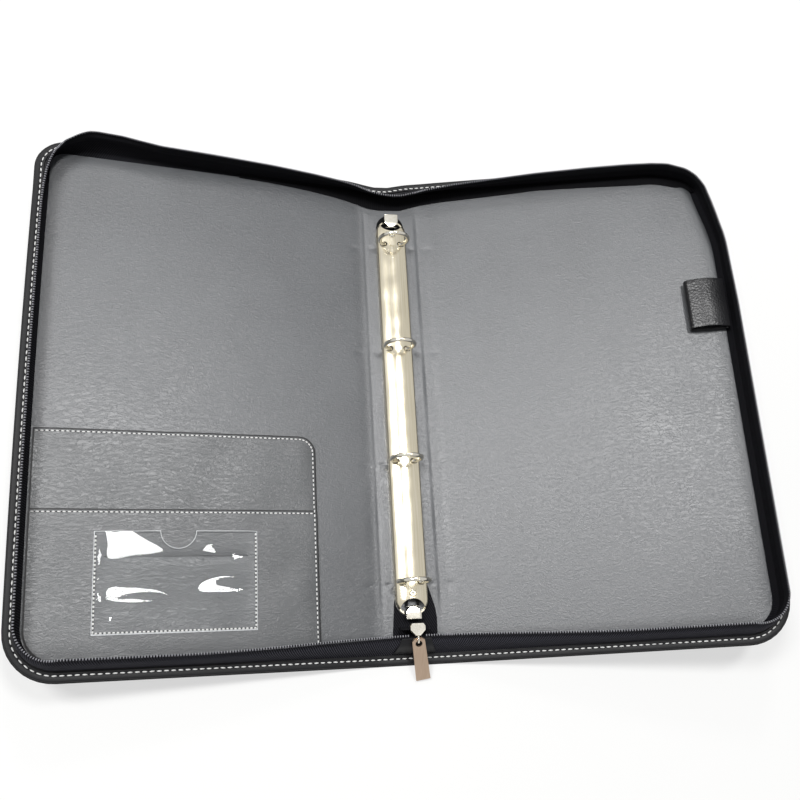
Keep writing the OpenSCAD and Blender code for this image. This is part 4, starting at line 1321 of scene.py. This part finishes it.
@dataclass
class PenLoop:
    """The pen loop at the right cover's outer edge."""

    outer: float = 211.0
    width: float = 28.0
    height: float = 11.0
    thick: float = 1.3
    middle: float = 57.0
    length: float = 35.5
    tight: float = 0.45
    crown: float = 3.2
    sag: float = 2.8
    wave: float = 0.3
    lip: float = 1.6

    def build(self) -> None:
        """Folds a strip of leather over and sets it on the lining."""
        fold = Fold(Side.RIGHT)
        r = (self.height - self.thick) / 2
        low = CASE.lining_top + self.thick / 2
        start = self.outer - self.width + self.tight * r + self.thick / 2
        bm = bmesh.new()
        first = bm.verts.new((start, 0.0, low))
        last = sweep(bm, first, cent=(start, 0.0, low + r), axis=(0.0, -1.0, 0.0), angle=-math.pi, steps=14)
        ends = [bm.verts.new((self.outer - 0.4, 0.0, z)) for z in (low, low + 2 * r - self.lip)]
        bm.edges.new((first, ends[0]))
        bm.edges.new((last, ends[1]))
        bmesh.ops.subdivide_edges(bm, edges=[e for v in ends for e in v.link_edges], cuts=6)
        grown = bmesh.ops.extrude_edge_only(bm, edges=bm.edges[:])
        carry(bm, grown, (0.0, self.length, 0.0))
        cut_grid(bm, [], spread(0.0, self.length, 2.5))
        bmesh.ops.recalc_face_normals(bm, faces=bm.faces)

        def move(u: float, y: float, z: float) -> Vector:
            above = ease((z - low) / (2 * r))
            crown = above * (self.crown * math.sin(math.pi * max(0.0, (u - start) / (self.outer - start)))
                             + self.wave * ripple(u, y, 14.0, 4.0))
            # the fold on the spine's side is pressed tight
            flat = start - self.tight * (start - u) if u < start else u
            return fold.point(fold.across(flat), self.middle - self.length / 2 + y, z + crown - self.sag * above)

        shape(bm, move)
        thicken(bm, self.thick)
        soften(bm)
        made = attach(piece(bm, "pen_loop_leather", LOOP_LEATHER), "right_cover")
        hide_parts("pen_loop")


@dataclass
class TapeEnds:
    """The zip's tape ends on the spine, at the head and behind the slider, and the leather patch below it."""

    housing_end: float = -132.44
    housing_gap: float = 10.95
    rise_width: float = 18.0
    # outline of the tape end, from one side of the housing's foot to the other
    tail_line: Tuple[Pair, ...] = ((-11.4, -135.0), (-12.4, -146.0), (-13.6, -160.0), (15.7, -160.0),
                                   (15.9, -153.0), (16.1, -144.7), (15.4, -138.3), (14.0, -133.0),
                                   (12.4, -127.5), (11.2, -123.6))
    tail_top: float = 4.5
    tail_thick: float = 0.45
    # places along y and z of the tape that rises to the slider
    course: Tuple[Pair, ...] = ((-148.4, 4.95), (-149.2, 5.1), (-149.9, 5.8), (-150.3, 7.8), (-150.8, 11.0),
                                (-151.3, 14.2), (-151.7, 16.9))
    # how deep the surplus at the head reaches in from the wall, by the distance from the spine's middle
    left_reach: Tuple[Pair, ...] = ((0, 16.3), (8, 16.3), (16, 15.8), (24, 13.8), (40, 10.8), (60, 8.0),
                                    (75, 6.5), (90, 5.3), (110, 4.6))
    right_reach: Tuple[Pair, ...] = ((0, 16.3), (8, 17.0), (16, 15.0), (24, 13.3), (40, 11.8), (60, 11.0),
                                     (90, 9.5), (110, 8.3), (130, 8.5), (150, 9.0), (170, 9.6), (190, 10.2),
                                     (222, 10.2), (244, 6.0))
    behind_wall: float = 1.5
    # height of the surplus on the lining, and its drop towards the wall
    surplus_top: float = 4.6
    surplus_drop: float = 1.4
    drop_run: Pair = (-4.8, 2.6)
    tape_thick: float = 0.5
    patch_half: float = 14.0
    patch_thick: float = 0.7
    patch_taper: float = 0.66

    def build(self) -> None:
        """Builds the tape ends and the patch."""
        self.tail()
        self.rise()
        for side in Side:
            self.gusset(side)
        self.patch()

    def tail(self) -> None:
        """Lays the tape end flat round the foot of the ring housing."""
        r, y = self.housing_gap, self.housing_end
        bm = outline(self.tail_line, ((r, y), (0.0, y), -math.pi, 16))
        cut_grid(bm, spread(-14.0, 17.0, 1.5), spread(-160.0, -123.0, 1.5))
        shape(bm, lambda x, y, z: Vector((x, y, self.tail_top + 0.06 * ripple(x, y, 6.0, 3.0))) * MM)
        face_up(bm)
        thicken(bm, self.tail_thick)
        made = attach(piece(bm, "tape_end", TAPE_TWILL, 60.0), "spine")
        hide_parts("tape_tail")

    def rise(self) -> None:
        """Lifts the tape's middle to the slider."""
        bm = strip(14, self.course, self.rise_width, lambda d, y, z: Vector((d - self.rise_width / 2, y, z)) * MM)
        bmesh.ops.recalc_face_normals(bm, faces=bm.faces)
        thicken(bm, self.tape_thick)
        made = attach(piece(bm, "tape_end_rise", TAPE_TWILL, 60.0), "spine")
        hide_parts("tape_tail")

    def gusset(self, side: Side) -> None:
        """Lays the tape's surplus on the lining at the head, deepest at the spine.

        Args:
            side: The half of the case.
        """
        line = EdgeLine(Fold(side), CASE.wall_inset)
        table = self.left_reach if side is Side.LEFT else self.right_reach
        length = table[-1][0]

        def move(d: float, share: float, up: float) -> Vector:
            st = line.at(d)
            out = lerp(-between(table, d), -self.behind_wall, share)
            height = self.surplus_top - self.surplus_drop * onset(out, self.drop_run)
            height += 0.1 * ripple(d, out, 7.0, 9.0)
            return line.fold.point(st.s + st.out_s * out, st.y + st.out_y * out, height)

        bm = strip(round(length / 1.5), [(i / 12, 0.0) for i in range(13)], length, move)
        face_up(bm)
        thicken(bm, self.tape_thick)
        # the surplus takes the near-black twill: painted shade for the head wall's shadow on it
        made = bind(piece(bm, f"{side.word}_head_tape_end", SHADED_HEAD_TWILL, 60.0), side)
        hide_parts("head_gusset")
        deep = max(reach for _, reach in table) - self.behind_wall
        area = sum((between(table, d + 0.5) - self.behind_wall) for d in range(int(length))) * MM * MM

    def patch(self) -> None:
        """Glues the patch to the outer face of the tape."""
        line = {side: EdgeLine(Fold(side), CASE.wall_inset) for side in Side}
        heights = [lerp(ZipWall.FOOT, CASE.slant - 2.0, i / 10) for i in range(11)]
        cross = [(ZipWall.bulge(up) + 1.2, up) for up in heights]

        def move(d: float, out: float, up: float) -> Vector:
            taper = lerp(1.0, self.patch_taper, (up - 2.0) / (CASE.slant - 4.0))
            x = (d - self.patch_half) * taper
            along = line[Side.LEFT if x < 0 else Side.RIGHT]
            return along.wall(along.length - abs(x), out, up)

        bm = strip(16, cross, 2 * self.patch_half, move)
        face_up(bm)
        thicken(bm, self.patch_thick)
        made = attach(piece(bm, "slider_patch", PATCH_LEATHER), "spine")
        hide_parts("foot_patch")


@dataclass
class Boards:
    """The stiff boards between the leather and the lining; they follow the leather's draw."""

    low: float = 1.2
    high: float = 2.6
    crease: float = 4.0
    setback: float = 1.0
    edge_setback: float = 2.5

    def build(self) -> None:
        """Builds the two cover boards and the spine board."""
        h = CASE.half_height - CASE.lining_inset - self.setback
        for side in Side:
            fold = Fold(side)
            bm = panel((fold.across(self.crease), -h), (fold.edge - (CASE.lining_inset + self.edge_setback), h),
                       CASE.lining_corners)
            self.raise_up(bm, fold.point)
            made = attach(piece(bm, f"{side.word}_cover_board", BOARD), side.body)
            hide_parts(f"{side.word}_board")
        half = CASE.half_spine - self.crease
        folds = {side: Fold(side) for side in Side}
        bm = panel((-half, -h), (half, h), {})
        self.raise_up(bm, lambda x, y, z: folds[Side.LEFT if x < 0 else Side.RIGHT].point(abs(x), y, z))
        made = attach(piece(bm, "spine_stiffener", BOARD), "spine")
        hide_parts("spine_board")

    def raise_up(self, bm: bmesh.types.BMesh, place: Callable[[float, float, float], Vector]) -> None:
        """Gives a flat panel the board's thickness and puts it in place.

        Args:
            bm: The flat panel.
            place: Gives the place in metres.
        """
        low = min(v.co.x for v in bm.verts)
        high = max(v.co.x for v in bm.verts)
        cut_grid(bm, spread(low, high, 6.0), spread(-CASE.half_height, CASE.half_height, 6.0))
        grown = bmesh.ops.extrude_face_region(bm, geom=bm.faces[:], use_keep_orig=True)
        carry(bm, grown, (0.0, 0.0, self.high - self.low))
        bmesh.ops.recalc_face_normals(bm, faces=bm.faces)
        shape(bm, lambda x, y, z: place(x, y, z + self.low))


@dataclass
class HousingEnds:
    """A half disc of painted shade in the housing's head mouth, and the rounded thumb tongues on the two levers.
    """

    middle: float = -1.94
    cap_radius: float = 10.0
    cap_middle: float = 133.8
    cap_foot: float = 124.0
    cap_top: float = 4.4
    cap_thick: float = 0.3
    half_width: float = 4.85
    top: float = 11.45
    thick: float = 1.0
    dip: float = 0.35
    crown: float = 0.004
    head: Pair = (133.4, 143.3)
    foot: Pair = (135.2, 143.3)

    def build(self) -> None:
        """Builds the half disc of painted shade and both tongues."""
        self.cap()
        self.tongue("head_lever", self.head, 1.0)
        self.tongue("foot_lever", self.foot, -1.0)

    def cap(self) -> None:
        """Lays a dark half disc round the head lever: painted shade for the dark inside of the mouth."""
        r, y = self.cap_radius, self.cap_middle
        bm = outline([(-r, self.cap_foot), (r, self.cap_foot)], ((r, y), (0.0, y), math.pi, 20))
        shape(bm, lambda x, y, z: Vector((x, y, self.cap_top)) * MM)
        face_up(bm)
        thicken(bm, self.cap_thick)
        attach(piece(bm, "housing_head_shade_disc", MOUTH_SHADE), "spine")

    def tongue(self, body: str, ends: Pair, way: float) -> None:
        """Presses one tongue that dips into the housing's mouth.

        Args:
            body: Lever that carries it.
            ends: Its inner end and its tip, as distances from the mechanism's middle.
            way: 1 at the head, -1 at the foot.
        """
        inner, tip = ends
        r = self.half_width
        bm = outline([(r, tip), (-r, tip)], ((-r, inner + r), (0.0, inner + r), math.pi, 14))
        cut_grid(bm, spread(-r, r, 1.2), spread(inner, tip, 0.7))

        def move(x: float, y: float, z: float) -> Vector:
            rise = self.top - self.dip * (1 - ease((y - inner + 1.0) / 5.0))
            return Vector((x, self.middle + way * y, rise - self.crown * x * x)) * MM

        shape(bm, move)
        face_up(bm)
        thicken(bm, self.thick)
        soften(bm)
        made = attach(piece(bm, f"{body}_tongue", WIRE_NICKEL), body)


@dataclass
class Metalwork:
    """The CAD pieces that stay: the ring mechanism, the slider and the pull."""

    # the levers' CAD pieces take the near-black painted shade of the mouths that they sit in; their tongues are
    # nickel
    finishes: Dict[str, Finish] = field(default_factory=lambda: {
        "ring_housing": NICKEL, "housing_rivets": WIRE_NICKEL, "left_rings": WIRE_NICKEL,
        "right_rings": WIRE_NICKEL, "head_trigger": MOUTH_SHADE, "foot_trigger": MOUTH_SHADE,
        "slider_body": WIRE_NICKEL, "slider_bridge": WIRE_NICKEL, "left_blade": BLADE_STEEL,
        "right_blade": BLADE_STEEL, "pull_tab": BRONZE,
    })

    def dress(self) -> None:
        """Gives each piece its finish."""
        for node, finish in self.finishes.items():
            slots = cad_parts[node].data.materials
            slots.clear()
            slots.append(finish.material())
            LOG.info("%s: %s", node, finish.name)


@dataclass
class Studio:
    """Camera, floor and lamps."""

    eye: Triple = (-0.11335, -0.18198, 0.59631)
    turn: Triple = (17.59, -9.87, -3.23)
    lens: float = 41.2
    # name, place, size in metres and power in watts of each lamp
    lamps: Tuple[Tuple[str, Triple, Pair, float], ...] = (
        ("key_lamp", (0.0, 1.45, 1.5), (0.25, 0.25), 3.5),
        ("overhead_softbox", (0.30, 0.47, 2.2), (0.28, 0.42), 20.0),
        ("side_softbox", (-0.95, 0.42, 2.1), (0.5, 0.5), 31.0))
    sky_fill: float = 0.27
    sky_seen: float = 0.66
    floor_below: float = 0.0004

    def build(self) -> None:
        """Sets the whole studio up."""
        self.camera()
        self.floor()
        for name, place, size, power in self.lamps:
            self.lamp(name, place, size, power)
        self.sky()
        bpy.context.scene.view_settings.view_transform = "Standard"

    def camera(self) -> None:
        """Stands the camera where the photograph was taken."""
        data = bpy.data.cameras.new("camera")
        data.lens, data.sensor_width = self.lens, 36.0
        data.clip_start = 0.01
        made = bpy.data.objects.new("camera", data)
        made.location = self.eye
        made.rotation_euler = [math.radians(a) for a in self.turn]
        bpy.context.scene.collection.objects.link(made)
        bpy.context.scene.camera = made

    def floor(self) -> None:
        """Lays the white floor."""
        bm = bmesh.new()
        bmesh.ops.create_grid(bm, x_segments=4, y_segments=4, size=6.0)
        bmesh.ops.translate(bm, verts=bm.verts, vec=(0.0, 0.0, -self.floor_below))
        made = piece(bm, "floor", StudioFloor("white_studio_board", "#f2f2f0", 0.6))

    def lamp(self, name: str, place: Triple, size: Pair, power: float) -> None:
        """Hangs an oblong lamp that faces the case.

        Args:
            name: Name of the lamp.
            place: Where it hangs, in metres.
            size: Its width and its height, in metres.
            power: Power in watts.
        """
        data = bpy.data.lights.new(name, "AREA")
        data.shape, data.energy = "RECTANGLE", power
        data.size, data.size_y = size
        made = bpy.data.objects.new(name, data)
        made.location = place
        made.rotation_euler = (-Vector(place)).to_track_quat("-Z", "Y").to_euler()
        bpy.context.scene.collection.objects.link(made)

    def sky(self) -> None:
        """Fills in with an even white sky, weaker for matt surfaces than for mirrors and clear film."""
        world = bpy.data.worlds.new("studio_sky")
        world.use_nodes = True
        tree = world.node_tree
        tree.nodes.clear()
        path = add(tree, "ShaderNodeLightPath")
        mirrored = add(tree, "ShaderNodeMath",
                       {0: path.outputs["Is Glossy Ray"], 1: path.outputs["Is Transmission Ray"]},
                       operation="MAXIMUM")
        strength = add(tree, "ShaderNodeMapRange",
                       {"Value": mirrored.outputs[0], "To Min": self.sky_fill, "To Max": self.sky_seen})
        whole = add(tree, "ShaderNodeMath", {0: strength.outputs[0], 1: path.outputs["Is Camera Ray"]},
                    operation="MAXIMUM")
        sky = add(tree, "ShaderNodeBackground", {"Color": (1.0, 1.0, 1.0, 1.0), "Strength": whole.outputs[0]})
        add(tree, "ShaderNodeOutputWorld", {"Surface": sky.outputs[0]})
        bpy.context.scene.world = world


def main() -> None:
    """Builds the case and its studio."""
    logging.basicConfig(level=logging.INFO, format="%(message)s")
    Studio().build()
    Metalwork().dress()
    for side in Side:
        OuterLeather(side).build()
        Lining(side).build()
        ZipWall(side).build()
    Pockets().build()
    PenLoop().build()
    TapeEnds().build()
    Boards().build()
    HousingEnds().build()


if __name__ == "__main__":
    main()
